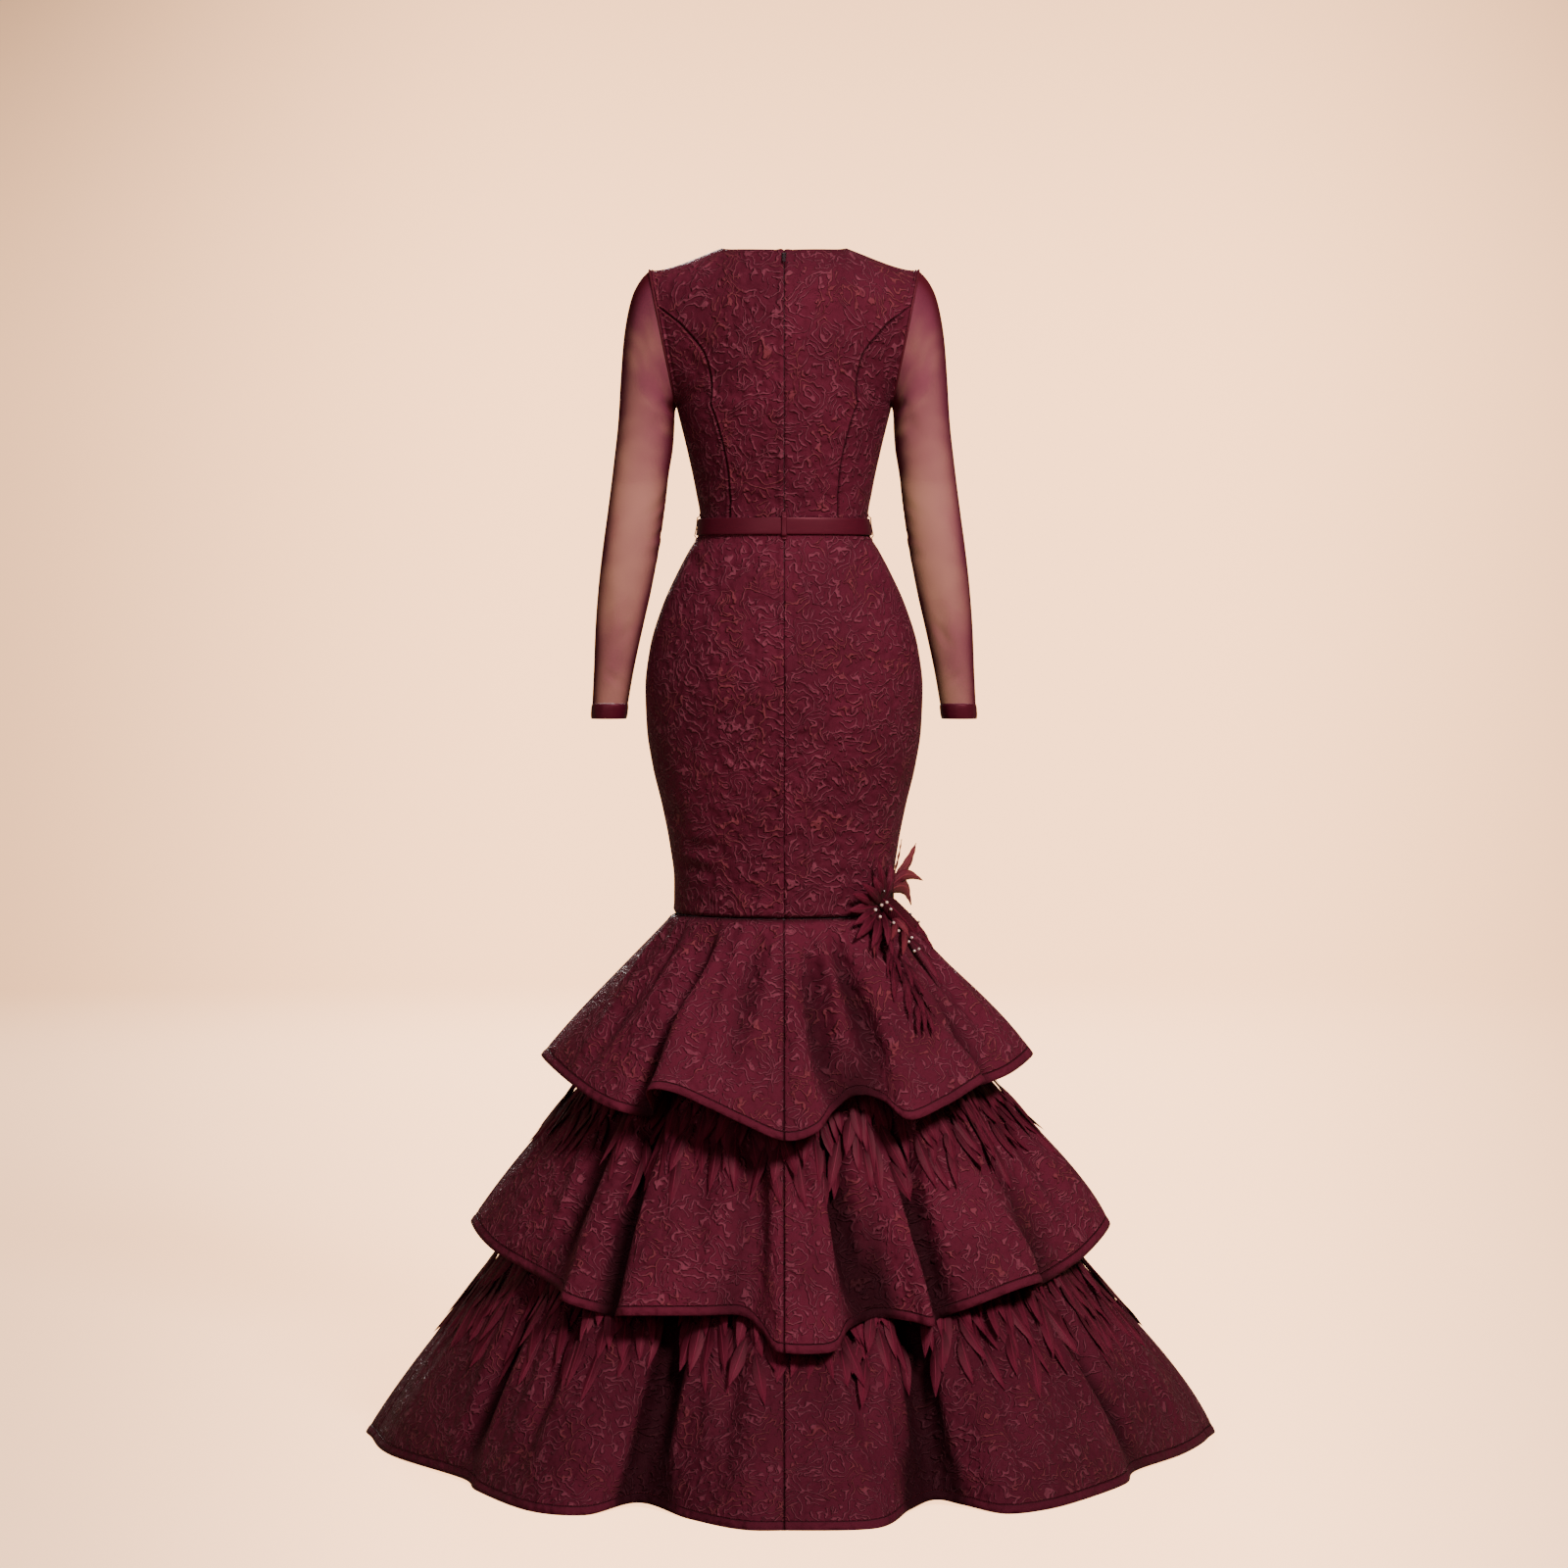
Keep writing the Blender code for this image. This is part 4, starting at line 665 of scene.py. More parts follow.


# The slot of each finish that isn't a slot by its own name.
SLOTS = {"edge": "jacquard", **dict.fromkeys(("dark_feather", "pale_leaf", "pearl", "bead"), "feather")}


def finish_piece(made, finish, *nodes):
    """Gives a piece its finish and ties it to the frame."""
    made.data.materials.clear()
    made.data.materials.append(finish_named(finish))
    if nodes:
        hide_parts(*nodes)
    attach(made, "gown")
    return made


def thicken(made, thickness):
    wall = made.modifiers.new("wall", "SOLIDIFY")
    wall.thickness = thickness
    wall.offset = -1.0
    return made


def store(made, name, values):
    """Keeps a value at each point of a mesh, for its material to read."""
    layer = made.data.attributes.new(name, "FLOAT", "POINT")
    layer.data.foreach_set("value", values.astype(np.float32).ravel())


def sew(node, cloth, flat, finish, thickness, tone=0.0):
    points = cloth.placed()
    made = grid_object(f"cloth_{node}", points, flat, cloth.surface.facing, cloth.closed)
    if thickness:
        thicken(made, thickness)
    finish_piece(made, finish, node)
    # The hollow attribute is painted shade: along seam grooves, and where tone gives it, between the folds
    # and on the lowest flounce.
    if not cloth.closed:
        store(made, "hollow", np.maximum(cloth.lines, tone))
    return made


def spread(count):
    return np.linspace(0, 1, count + 1)


def seamed(count, closer=0.72):
    """Shares of a width that lie closer together near both borders, where the seams are."""
    shares = spread(count)
    return shares - closer * np.sin(math.tau * shares) / math.tau


# ---------------------------------------------------------------------------------------- materials


class Nodes:
    """Adds nodes to a tree, with values or links given for their inputs."""

    def __init__(self, tree):
        self.tree = tree

    def add(self, kind, inputs=None, **settings):
        made = self.tree.nodes.new(kind)
        for key, value in settings.items():
            setattr(made, key, value)
        for key, value in (inputs or {}).items():
            if isinstance(value, bpy.types.NodeSocket):
                self.tree.links.new(value, made.inputs[key])
            else:
                made.inputs[key].default_value = value
        return made

    def feed(self, shader, **values):
        """Links values to the shader's own sockets."""
        for key, value in values.items():
            self.tree.links.new(value, shader.inputs[key.replace("_", " ")])

    def uv(self):
        return self.add("ShaderNodeUVMap", uv_map="UVMap").outputs[0]

    def place(self):
        return self.add("ShaderNodeTexCoord").outputs["Object"]

    def stored(self, name):
        return self.add("ShaderNodeAttribute", attribute_name=name).outputs["Fac"]

    def parts(self, vector):
        return self.add("ShaderNodeSeparateXYZ", {0: vector}).outputs

    def math(self, operation, first, second=0.0):
        return self.add("ShaderNodeMath", {0: first, 1: second}, operation=operation).outputs[0]

    def plus(self, first, second):
        return self.math("ADD", first, second)

    def minus(self, first, second):
        return self.math("SUBTRACT", first, second)

    def times(self, first, second):
        return self.math("MULTIPLY", first, second)

    def vector(self, operation, first, second=(0, 0, 0)):
        return self.add("ShaderNodeVectorMath", {0: first, 1: second}, operation=operation).outputs[0]

    def scaled(self, vector, scale):
        return self.add("ShaderNodeVectorMath", {0: vector, "Scale": scale}, operation="SCALE").outputs[0]

    def ramp(self, value, low, high, to_low=0.0, to_high=1.0):
        inputs = {"Value": value, "From Min": low, "From Max": high, "To Min": to_low, "To Max": to_high}
        return self.add("ShaderNodeMapRange", inputs, interpolation_type="SMOOTHSTEP").outputs[0]

    def noise(self, place, scale, detail=2.0, flat=True, output="Fac"):
        inputs = {"Vector": place, "Scale": scale, "Detail": detail}
        return self.add("ShaderNodeTexNoise", inputs, noise_dimensions="2D" if flat else "3D").outputs[output]

    def cells(self, place, scale, feature="F1"):
        inputs = {"Vector": place, "Scale": scale}
        return self.add("ShaderNodeTexVoronoi", inputs, voronoi_dimensions="2D", feature=feature).outputs

    def bump(self, height, distance, strength=1.0):
        inputs = {"Height": height, "Distance": distance, "Strength": strength}
        return self.add("ShaderNodeBump", inputs).outputs[0]

    def random(self, low, high, seed):
        inputs = {2: low, 3: high, "Seed": seed}
        return self.add("FunctionNodeRandomValue", inputs, data_type="FLOAT").outputs[1]


def new_material(name, **values):
    """A Principled material and its node adder. Values are set on the shader's own sockets."""
    made = bpy.data.materials.new(name)
    made.use_nodes = True
    shader = made.node_tree.nodes["Principled BSDF"]
    for key, value in values.items():
        shader.inputs[key.replace("_", " ")].default_value = value
    return made, Nodes(made.node_tree), shader


def toned(colour, share):
    return tuple(min(share * part, 1.0) for part in colour)


def mixed(nodes, share, first, second):
    """A colour between two, which may each be a value or a socket."""
    made = nodes.add("ShaderNodeMix", data_type="RGBA")
    for index, value in ((0, share), (6, first), (7, second)):
        if isinstance(value, bpy.types.NodeSocket):
            nodes.tree.links.new(value, made.inputs[index])
        elif index:
            made.inputs[index].default_value = (*value, 1.0)
        else:
            made.inputs[index].default_value = value
    return made.outputs[2]


def drifting(nodes, tone, low, high, colour, share):
    """A colour that drifts from a share of itself to itself as the tone grows from low to high."""
    return mixed(nodes, nodes.ramp(tone, low, high), toned(colour, share), colour)


def strokes(nodes, distance, spacing):
    """Even lines along equal distances from an outline. Height 0 to 1."""
    wave = nodes.math("COSINE", nodes.times(distance, math.tau / spacing))
    return nodes.ramp(wave, 0.30, 0.98)


def petal_layer(nodes, place, scale, spacing, keep):
    """Petals lying one in another: warped cells with lines inside them, broken into short lengths."""
    edge = nodes.cells(place, scale, "DISTANCE_TO_EDGE")["Distance"]
    return nodes.times(strokes(nodes, edge, spacing), keep)


def jacquard_lines(nodes, uv):
    """Height of the raised threads: petals lying one in another, short curls between them, and roses."""
    place = uv
    for scale, warp in ((34.0, 0.030), (95.0, 0.0075)):
        aside = nodes.vector("SUBTRACT", nodes.noise(uv, scale, 1.0, output="Color"), (0.5, 0.5, 0.5))
        place = nodes.vector("ADD", place, nodes.scaled(aside, warp))
    patches = nodes.noise(uv, 46.0, 1.0)
    others = nodes.noise(nodes.vector("ADD", uv, (3.7, 1.9, 0.0)), 58.0, 1.0)
    petals = petal_layer(nodes, place, 24.0, 0.21, nodes.ramp(patches, 0.40, 0.49))
    shifted = nodes.vector("ADD", place, (1.3, 4.1, 0.0))
    curls = petal_layer(nodes, shifted, 36.0, 0.30, nodes.ramp(others, 0.49, 0.57))

    rose = nodes.cells(place, 9.5)
    centre = nodes.vector("SUBTRACT", place, rose["Position"])
    reach = nodes.add("ShaderNodeVectorMath", {0: centre}, operation="LENGTH").outputs["Value"]
    x, y = nodes.parts(centre)[:2]
    swirl = nodes.plus(nodes.math("ARCTAN2", y, x), nodes.times(others, 7.0))
    rings = nodes.ramp(nodes.math("SINE", nodes.plus(nodes.times(reach, 900.0), swirl)), 0.15, 0.95)
    chosen = nodes.add("ShaderNodeSeparateColor", {0: rose["Color"]}).outputs[0]
    bloom = nodes.times(nodes.ramp(reach, 0.020, 0.026, 1.0, 0.0), nodes.ramp(chosen, 0.45, 0.50))
    leaves = nodes.math("MAXIMUM", petals, nodes.times(curls, 0.85))
    leaves = nodes.times(leaves, nodes.minus(1.0, bloom))
    return nodes.math("MAXIMUM", leaves, nodes.times(nodes.times(rings, bloom), 0.9))


ROSY_SHINE = (1.0, 0.34, 0.42, 1.0)
# How far raised threads lighten the jacquard, partly by their own thread and partly by painted sheen, how far
# painted shade in hollows and along the hem's stitched line darkens it, and its darkest painted shade as a
# share of its ground.
THREAD_AND_SHEEN_SHARE = 0.46
HOLLOW_SHADE_SHARE = 0.90
HEM_LINE_SHADE_SHARE = 0.70
DARKEST = 0.05


def make_materials(colours):
    """Every finish of the gown, by its name."""
    finishes = {}
    sheen = (*colours.sheen, 1.0)

    finishes["jacquard"], nodes, shader = new_material(
        "burgundy_jacquard", Sheen_Weight=0.02, Sheen_Roughness=0.5, IOR=1.3, Specular_IOR_Level=0.16,
        Specular_Tint=ROSY_SHINE, Sheen_Tint=sheen,
    )
    uv = nodes.uv()
    band = nodes.stored("band")
    plain = nodes.ramp(band, 0.47, 0.53)
    seam = nodes.ramp(nodes.math("ABSOLUTE", nodes.minus(band, 0.5)), 0.015, 0.055, 1.0, 0.0)
    lines = nodes.times(jacquard_lines(nodes, uv), nodes.minus(1.0, plain))
    ground = drifting(nodes, nodes.noise(uv, 7.0), 0.35, 0.65, colours.jacquard, 0.78)
    # Raised threads are lighter, partly by their own warmer thread and partly by painted sheen.
    warm = nodes.ramp(nodes.noise(uv, 21.0, 1.0), 0.50, 0.66)
    thread = mixed(nodes, warm, colours.thread, colours.copper)
    colour = mixed(nodes, nodes.times(lines, THREAD_AND_SHEEN_SHARE), ground, thread)
    # Painted shade in the hollows between folds, along seam grooves and along the hem's stitched line.
    hollow = nodes.times(nodes.stored("hollow"), HOLLOW_SHADE_SHARE)
    shade = nodes.math("MAXIMUM", hollow, nodes.times(seam, HEM_LINE_SHADE_SHARE))
    puff = nodes.times(nodes.ramp(nodes.noise(uv, 60.0, 1.0), 0.3, 0.7), 0.6)
    weave = nodes.times(nodes.noise(uv, 1300.0, 0.0), 0.16)
    height = nodes.minus(nodes.plus(nodes.plus(lines, puff), weave), seam)
    nodes.feed(
        shader,
        Base_Color=mixed(nodes, shade, colour, toned(colours.jacquard, DARKEST)),
        Roughness=nodes.ramp(lines, 0.0, 1.0, 0.62, 0.46),
        Normal=nodes.bump(height, 0.0032),
    )

    finishes["edge"], nodes, shader = new_material(
        "plain_edge", Roughness=0.52, Sheen_Weight=0.03, Sheen_Roughness=0.5, IOR=1.3, Specular_IOR_Level=0.3,
        Specular_Tint=ROSY_SHINE, Sheen_Tint=sheen,
    )
    place = nodes.place()
    tone = nodes.noise(place, 90.0, flat=False)
    nodes.feed(
        shader,
        Base_Color=drifting(nodes, tone, 0.3, 0.7, colours.edge, 0.8),
        Normal=nodes.bump(nodes.noise(place, 700.0, 1.0, flat=False), 0.0004),
    )

    finishes["sheer_mesh"], nodes, shader = new_material(
        "sheer_mesh", Roughness=0.75, IOR=1.2, Specular_IOR_Level=0.1, Specular_Tint=(1.0, 0.5, 0.5, 1.0)
    )
    uv = nodes.uv()
    net = nodes.noise(uv, 1100.0, 1.0)
    # The rim attribute is painted shade: it darkens the net and makes it less sheer.
    rim = nodes.stored("rim")
    thin = drifting(nodes, net, 0.35, 0.65, colours.sheer, 0.75)
    cloudy = nodes.ramp(nodes.noise(uv, 9.0), 0.3, 0.7, 0.72, 0.86)
    cover = nodes.plus(cloudy, nodes.ramp(net, 0.35, 0.65, -0.05, 0.05))
    nodes.feed(
        shader,
        Base_Color=mixed(nodes, rim, thin, colours.edge),
        Alpha=nodes.plus(cover, nodes.times(rim, 0.22)),
        Normal=nodes.bump(net, 0.0003, 0.4),
    )

    finishes["satin"], nodes, shader = new_material(
        "burgundy_satin", Roughness=0.46, Anisotropic=0.35, IOR=1.3, Specular_IOR_Level=0.5,
        Specular_Tint=(1.0, 0.32, 0.40, 1.0),
    )
    slub = nodes.add("ShaderNodeMapping", {"Vector": nodes.place(), "Scale": (60.0, 60.0, 1800.0)}).outputs[0]
    threads = nodes.noise(slub, 1.0, 1.0, flat=False)
    nodes.feed(
        shader,
        Base_Color=drifting(nodes, threads, 0.3, 0.7, colours.satin, 0.8),
        Normal=nodes.bump(threads, 0.00012, 0.5),
    )

    finishes["lining"], nodes, shader = new_material("dark_lining", Roughness=0.68, Sheen_Weight=0.1)
    uv = nodes.uv()
    nodes.feed(
        shader,
        Base_Color=drifting(nodes, nodes.noise(uv, 40.0, 3.0), 0.3, 0.7, colours.lining, 0.7),
        Normal=nodes.bump(nodes.noise(uv, 900.0, 1.0), 0.0003, 0.6),
    )

    for name, base, tip, alpha in (
        ("dark_feather", colours.feather, colours.feather_tip, 1.0),
        ("pale_leaf", colours.leaf, colours.leaf_tip, 0.93),
    ):
        finishes[name], nodes, shader = new_material(
            name, Roughness=0.50, IOR=1.3, Specular_IOR_Level=0.4, Specular_Tint=ROSY_SHINE, Alpha=alpha
        )
        u, v = nodes.parts(nodes.uv())[:2]
        aside = nodes.math("ABSOLUTE", nodes.minus(u, 0.5))
        slant = nodes.plus(nodes.times(v, 150.0), nodes.times(aside, -60.0))
        barbs = nodes.ramp(nodes.math("SINE", slant), -0.6, 1.0)
        rib = nodes.ramp(aside, 0.02, 0.07, 1.0, 0.0)
        relief = nodes.math("MAXIMUM", nodes.times(barbs, 0.55), rib)
        # Painted shade: feathers and leaves darken towards their roots, where others lie over them.
        tone = mixed(nodes, nodes.ramp(v, 0.1, 1.0), base, tip)
        nodes.feed(
            shader,
            Base_Color=mixed(nodes, nodes.times(relief, 0.55), tone, toned(tip, 1.9)),
            Normal=nodes.bump(relief, 0.0006, 0.8),
        )

    finishes["zip_metal"], nodes, shader = new_material("enamelled_zip", Metallic=0.3, Specular_IOR_Level=0.3)
    wear = nodes.noise(nodes.place(), 420.0, 3.0, flat=False)
    worn = nodes.ramp(wear, 0.55, 0.75)
    nodes.feed(
        shader,
        Base_Color=mixed(nodes, worn, colours.zip_metal, toned(colours.zip_metal, 3.0)),
        Roughness=nodes.ramp(wear, 0.3, 0.8, 0.38, 0.55),
    )

    finishes["pearl"], nodes, shader = new_material(
        "rose_pearl", Roughness=0.18, Coat_Weight=0.6, Coat_Roughness=0.08, Subsurface_Weight=0.15
    )
    lustre = nodes.ramp(nodes.noise(nodes.place(), 260.0, 1.0, flat=False), 0.35, 0.65)
    nodes.feed(shader, Base_Color=mixed(nodes, lustre, colours.pearl, toned(colours.pearl, 0.72)))

    finishes["bead"], nodes, shader = new_material("dark_bead", Roughness=0.12, Coat_Weight=0.5)
    facets = nodes.noise(nodes.place(), 500.0, 0.0, flat=False)
    nodes.feed(shader, Base_Color=mixed(nodes, facets, colours.bead, toned(colours.bead, 1.8)))
    return finishes


FINISHES = {}


def finish_named(name):
    if not FINISHES:
        FINISHES.update(make_materials(bpy.context.scene.gown_colours))
    return FINISHES[name]


# ------------------------------------------------------------------- growing what repeats, by nodes


def new_tree(name, sizes):
    """A Geometry Nodes tree with named inputs for its sizes, with its node adder and its inputs."""
    tree = bpy.data.node_groups.new(name, "GeometryNodeTree")
    tree.interface.new_socket("Geometry", in_out="INPUT", socket_type="NodeSocketGeometry")
    for label, kind, value in sizes:
        socket = tree.interface.new_socket(label, in_out="INPUT", socket_type=f"NodeSocket{kind}")
        if value is not None:
            socket.default_value = value
    tree.interface.new_socket("Geometry", in_out="OUTPUT", socket_type="NodeSocketGeometry")
    nodes = Nodes(tree)
    return tree, nodes, nodes.add("NodeGroupInput").outputs


def end_tree(nodes, geometry, finish):
    """Every tree ends in plain geometry with its material."""
    whole = nodes.add("GeometryNodeRealizeInstances", {0: geometry}).outputs[0]
    dressed = nodes.add("GeometryNodeSetMaterial", {"Geometry": whole, "Material": finish}).outputs[0]
    nodes.add("NodeGroupOutput", {0: dressed})


def sewn_tree():
    """Copies of one small shape, one on each seed, turned and sized by the seed and a little uneven."""
    tree, nodes, given = new_tree(
        "sewn_on",
        (
            ("Shape", "Object", None),
            ("Finish", "Material", None),
            ("Unevenness", "Float", 0.08),
            ("Swing", "Float", 0.05),
            ("Tilt", "Float", 0.0),
            ("Seed", "Int", 7),
        ),
    )
    shape = nodes.add("GeometryNodeObjectInfo", {"Object": given["Shape"]}).outputs["Geometry"]
    turned, size = (
        nodes.add("GeometryNodeInputNamedAttribute", {"Name": name}, data_type="FLOAT_VECTOR").outputs[0]
        for name in ("turned", "size")
    )
    swing, tilt, unevenness, seed = (given[name] for name in ("Swing", "Tilt", "Unevenness", "Seed"))
    roll = nodes.add(
        "ShaderNodeCombineXYZ",
        {
            1: nodes.random(nodes.times(tilt, -1.0), tilt, nodes.plus(seed, 2.0)),
            2: nodes.random(nodes.times(swing, -1.0), swing, seed),
        },
    ).outputs[0]
    turns = {
        place: nodes.add("FunctionNodeEulerToRotation", {0: turn}).outputs[0]
        for place, turn in enumerate((turned, roll))
    }
    facing = nodes.add("FunctionNodeRotateRotation", turns, rotation_space="LOCAL").outputs[0]
    uneven = nodes.random(nodes.minus(1.0, unevenness), nodes.plus(1.0, unevenness), nodes.plus(seed, 1.0))
    copies = nodes.add(
        "GeometryNodeInstanceOnPoints",
        {
            "Points": given["Geometry"], "Instance": shape, "Rotation": facing,
            "Scale": nodes.scaled(size, uneven),
        },
    ).outputs[0]
    end_tree(nodes, copies, given["Finish"])
    return tree


def piping_tree():
    """A round cord covered in cloth along a line of seeds."""
    tree, nodes, given = new_tree(
        "piping",
        (
            ("Radius", "Float", 0.0016),
            ("Sides", "Int", 10),
            ("Step", "Float", 0.004),
            ("Finish", "Material", None),
        ),
    )
    line = nodes.add("GeometryNodeMeshToCurve", {"Mesh": given["Geometry"]}).outputs[0]
    even = nodes.add("GeometryNodeResampleCurve", {"Curve": line, "Length": given["Step"]}, mode="LENGTH")
    section = {"Resolution": given["Sides"], "Radius": given["Radius"]}
    ring = nodes.add("GeometryNodeCurvePrimitiveCircle", section).outputs[0]
    cord = nodes.add(
        "GeometryNodeCurveToMesh", {"Curve": even.outputs[0], "Profile Curve": ring, "Fill Caps": True}
    ).outputs[0]
    smooth = nodes.add("GeometryNodeSetShadeSmooth", {"Geometry": cord}).outputs[0]
    end_tree(nodes, smooth, given["Finish"])
    return tree


def grown(name, seeds, tree, finish, nodes=(), **sizes):
    """Runs a tree on a mesh of seeds, keeps its result as a plain mesh and ties it to the frame."""
    made = linked(name, seeds)
    step = made.modifiers.new("grow", "NODES")
    step.node_group = tree
    sizes["Finish"] = finish_named(finish)
    for socket in tree.interface.items_tree:
        if socket.in_out == "INPUT" and socket.name in sizes:
            step[socket.identifier] = sizes[socket.name]
    graph = bpy.context.evaluated_depsgraph_get()
    mesh = bpy.data.meshes.new_from_object(
        made.evaluated_get(graph), preserve_all_data_layers=True, depsgraph=graph
    )
    made.modifiers.remove(step)
    made.data = mesh
    if not mesh.polygons:
        raise RuntimeError(f"{name} came out empty")
    return finish_piece(made, finish, *nodes)


def seed_points(places, along, normals, sizes):
    """Seeds for the sewn_on tree: each with its place, its turn, and its size in X, Y and Z."""
    along = unit(along - normals * np.sum(along * normals, axis=-1, keepdims=True))
    across = np.cross(along, normals)
    turned = [Matrix(np.stack(axes, axis=1).tolist()).to_euler()[:] for axes in zip(across, along, normals)]
    mesh = bpy.data.meshes.new("seeds")
    mesh.from_pydata(places.tolist(), [], [])
    for label, values in (("turned", np.array(turned)), ("size", np.broadcast_to(sizes, places.shape))):
        layer = mesh.attributes.new(label, "FLOAT_VECTOR", "POINT")
        layer.data.foreach_set("vector", np.ascontiguousarray(values, dtype=np.float32).ravel())
    return mesh


def closed_line(points):
    mesh = bpy.data.meshes.new("line")
    count = len(points)
    mesh.from_pydata(np.asarray(points).tolist(), [(i, (i + 1) % count) for i in range(count)], [])
    return mesh


def leaf_grid(rows, columns, widths, cup, droop, fray):
    """A leaf one unit long and wide, on X and Y, cupped across and drooping along."""
    v, u = np.meshgrid(np.linspace(0, 1, rows + 1), np.linspace(-1, 1, columns + 1), indexing="ij")
    width = np.interp(v, np.linspace(0, 1, len(widths)), widths) / 2
    notch = fray * (np.arange(rows + 1) % 2)[:, None] * np.abs(u)
    points = np.stack([u * width * (1 - notch), v, -cup * u * u * width - droop * v * v], axis=-1)
    return points, np.stack([(u + 1) / 2, v], axis=-1)


def ball_shape(name, segments, rings, lying=False):
    """A ball one unit across. A lying one has its poles on Y, for a stitch."""
    bm = bmesh.new()
    bmesh.ops.create_uvsphere(bm, u_segments=segments, v_segments=rings, radius=0.5)
    if lying:
        bmesh.ops.rotate(bm, verts=bm.verts, cent=(0, 0, 0), matrix=Matrix.Rotation(math.pi / 2, 3, "X"))
    mesh = bpy.data.meshes.new(name)
    bm.to_mesh(mesh)
    bm.free()
    mesh.shade_smooth()
    return linked(name, mesh)


def even_line(surface, turns, levels, pitch, stand):
    """Places every pitch along a line on a surface, with the line's direction and the surface's normal."""
    turns, levels = np.broadcast_arrays(np.asarray(turns, float), np.asarray(levels, float))
    rough = surface.points(turns, levels)
    run = lengths_along(rough)
    marks = np.arange(pitch / 2, run[-1], pitch)
    turns, levels = np.interp(marks, run, turns), np.interp(marks, run, levels)
    places = surface.raised(turns, levels, np.full(len(marks), stand))
    return places, np.gradient(places, axis=0), surface.normals(turns, levels)


def corners_of(table):
    """The four corners of every cell of a table, one after another."""
    return [table[:-1, :-1], table[:-1, 1:], table[1:, 1:], table[1:, :-1]]


def joined_grids(name, grids):
    """One mesh object from several grids of points, each with its flat map."""
    points, faces, maps, start = [], [], [], 0
    for grid, flat in grids:
        number = np.arange(grid[..., 0].size).reshape(grid.shape[:2]) + start
        faces.append(np.stack(corners_of(number), axis=-1).reshape(-1, 4))
        maps.append(np.stack(corners_of(flat), axis=-2).reshape(-1, 2))
        points.append(grid.reshape(-1, 3))
        start += number.size
    return mesh_object(name, np.concatenate(points), np.concatenate(faces), np.concatenate(maps))


# -------------------------------------------------------------------------------- the gown's pieces

FACING = 0.0062
HEM_BAND = 0.0115
PUCKER_PITCH = 0.0085
LINING_CLOTH = 0.0012
CUFF_CLOTH = 0.0015
ZIP_LEVEL = TOP_LEVEL - 0.012


def princess(side):
    """The turn of a princess seam at each level, and the level where it meets the armhole."""
    seam = curves_of(PRINCESS_SEAMS, "level")[side]
    seam_top = UNDERARM_HEIGHT + PRINCESS_TOP_STEP[side] * UPPER_RISE
    return lambda level: float(seam(level)) if level <= seam_top else 90.0, seam_top


def bodice_cloth(side, panel):
    """The cloth of one bodice panel: centre, side_R, side_L, centre_R or centre_L."""
    surface = BODICES[side]
    seam, seam_top = princess(side)
    lower = np.linspace(WAIST_HEIGHT, UNDERARM_HEIGHT, 30)
    upper = np.linspace(UNDERARM_HEIGHT, TOP_LEVEL, 46)[1:]
    if panel.startswith("side"):
        upper = np.append(upper[upper < seam_top], seam_top)
        limits = (seam, 90) if panel == "side_R" else (-90, lambda level: -seam(level))
        cloth = Cloth(surface, np.concatenate([lower, upper]), seamed(30), *limits)
        inner = cloth.from_left if panel == "side_R" else cloth.from_right
        outer = cloth.from_right if panel == "side_R" else cloth.from_left
        cloth.seam(inner).seam(outer)
        armhole_facing(cloth, outer, UNDERARM_HEIGHT)
    elif panel == "centre":
        cloth = Cloth(surface, np.concatenate([lower, upper]), seamed(88), lambda level: -seam(level), seam)
        cloth.seam(cloth.from_left).seam(cloth.from_right)
    else:
        limits = (0, seam) if panel == "centre_R" else (lambda level: -seam(level), 0)
        cloth = Cloth(surface, np.concatenate([lower, upper]), seamed(54), *limits)
        slit = cloth.from_left if panel == "centre_R" else cloth.from_right
        border = cloth.from_right if panel == "centre_R" else cloth.from_left
        cloth.seam(border)
        armhole_facing(cloth, border, seam_top)
        zip_lips(cloth, slit, panel == "centre_L")
    return cloth


def armhole_facing(cloth, distance, above):
    """The stitched edge of the armhole's facing, a groove beside the seam with a soft roll between them."""
    inside = np.clip((cloth.levels - above) / 0.012, 0, 1)
    cloth.relief -= inside * 0.0011 * hump(distance - FACING, 0.0012)
    cloth.relief += inside * 0.0007 * hump(distance - FACING / 2, 0.0020)


def zip_lips(cloth, slit, raised_side):
    """The zip's slit: the cloth turns in along it, and one side stands a little over the other."""
    cloth.relief -= 0.0012 * hump(slit, 0.0010)
    cloth.relief += (0.0011 if raised_side else 0.0006) * hump(slit - 0.0042, 0.0026)
    cloth.relief -= 0.0005 * hump(slit - 0.0105, 0.0012)


def sew_bodice(sizes):
    """The seven panels. Their flat maps lie apart, so that the jacquard differs from panel to panel."""
    for side, table, start, panels in (
        ("back", BACK_CREASES, 0.0, ("side_R", "side_L", "centre_R", "centre_L")),
        ("front", FRONT_CREASES, 3.1, ("side_R", "side_L", "centre")),
    ):
        for number, panel in enumerate(panels):
            cloth = bodice_cloth(side, panel).crease(table)
            middle = cloth.turns.shape[1] // 2
            anchor = {"centre_L": -1, "side_L": -1, "centre": middle}.get(panel, 0)
            sew(
                f"bodice_{side}_{panel}", cloth, cloth.flat_map(anchor, 0.7 * number + start), "jacquard",
                sizes.cloth,
            )


def skirt_cloth(left, right, columns):
    """A panel of the skirt. Creases are also tried one full turn on, for the panel past the front."""
    levels = np.linspace(KNEE_HEIGHT, WAIST_HEIGHT, 92)
    cloth = Cloth(BODY, levels, seamed(columns), left, right)
    cloth.groove(cloth.from_first, **KNEE_SEAM).crease(SKIRT_DARTS).crease(SKIRT_CREASES)
    wrapped = [row._replace(turn=row.turn + 360, to_turn=row.to_turn + 360) for row in SKIRT_CREASES]
    return cloth.crease([row for row in wrapped if max(row.turn, row.to_turn) > left and left > 180])


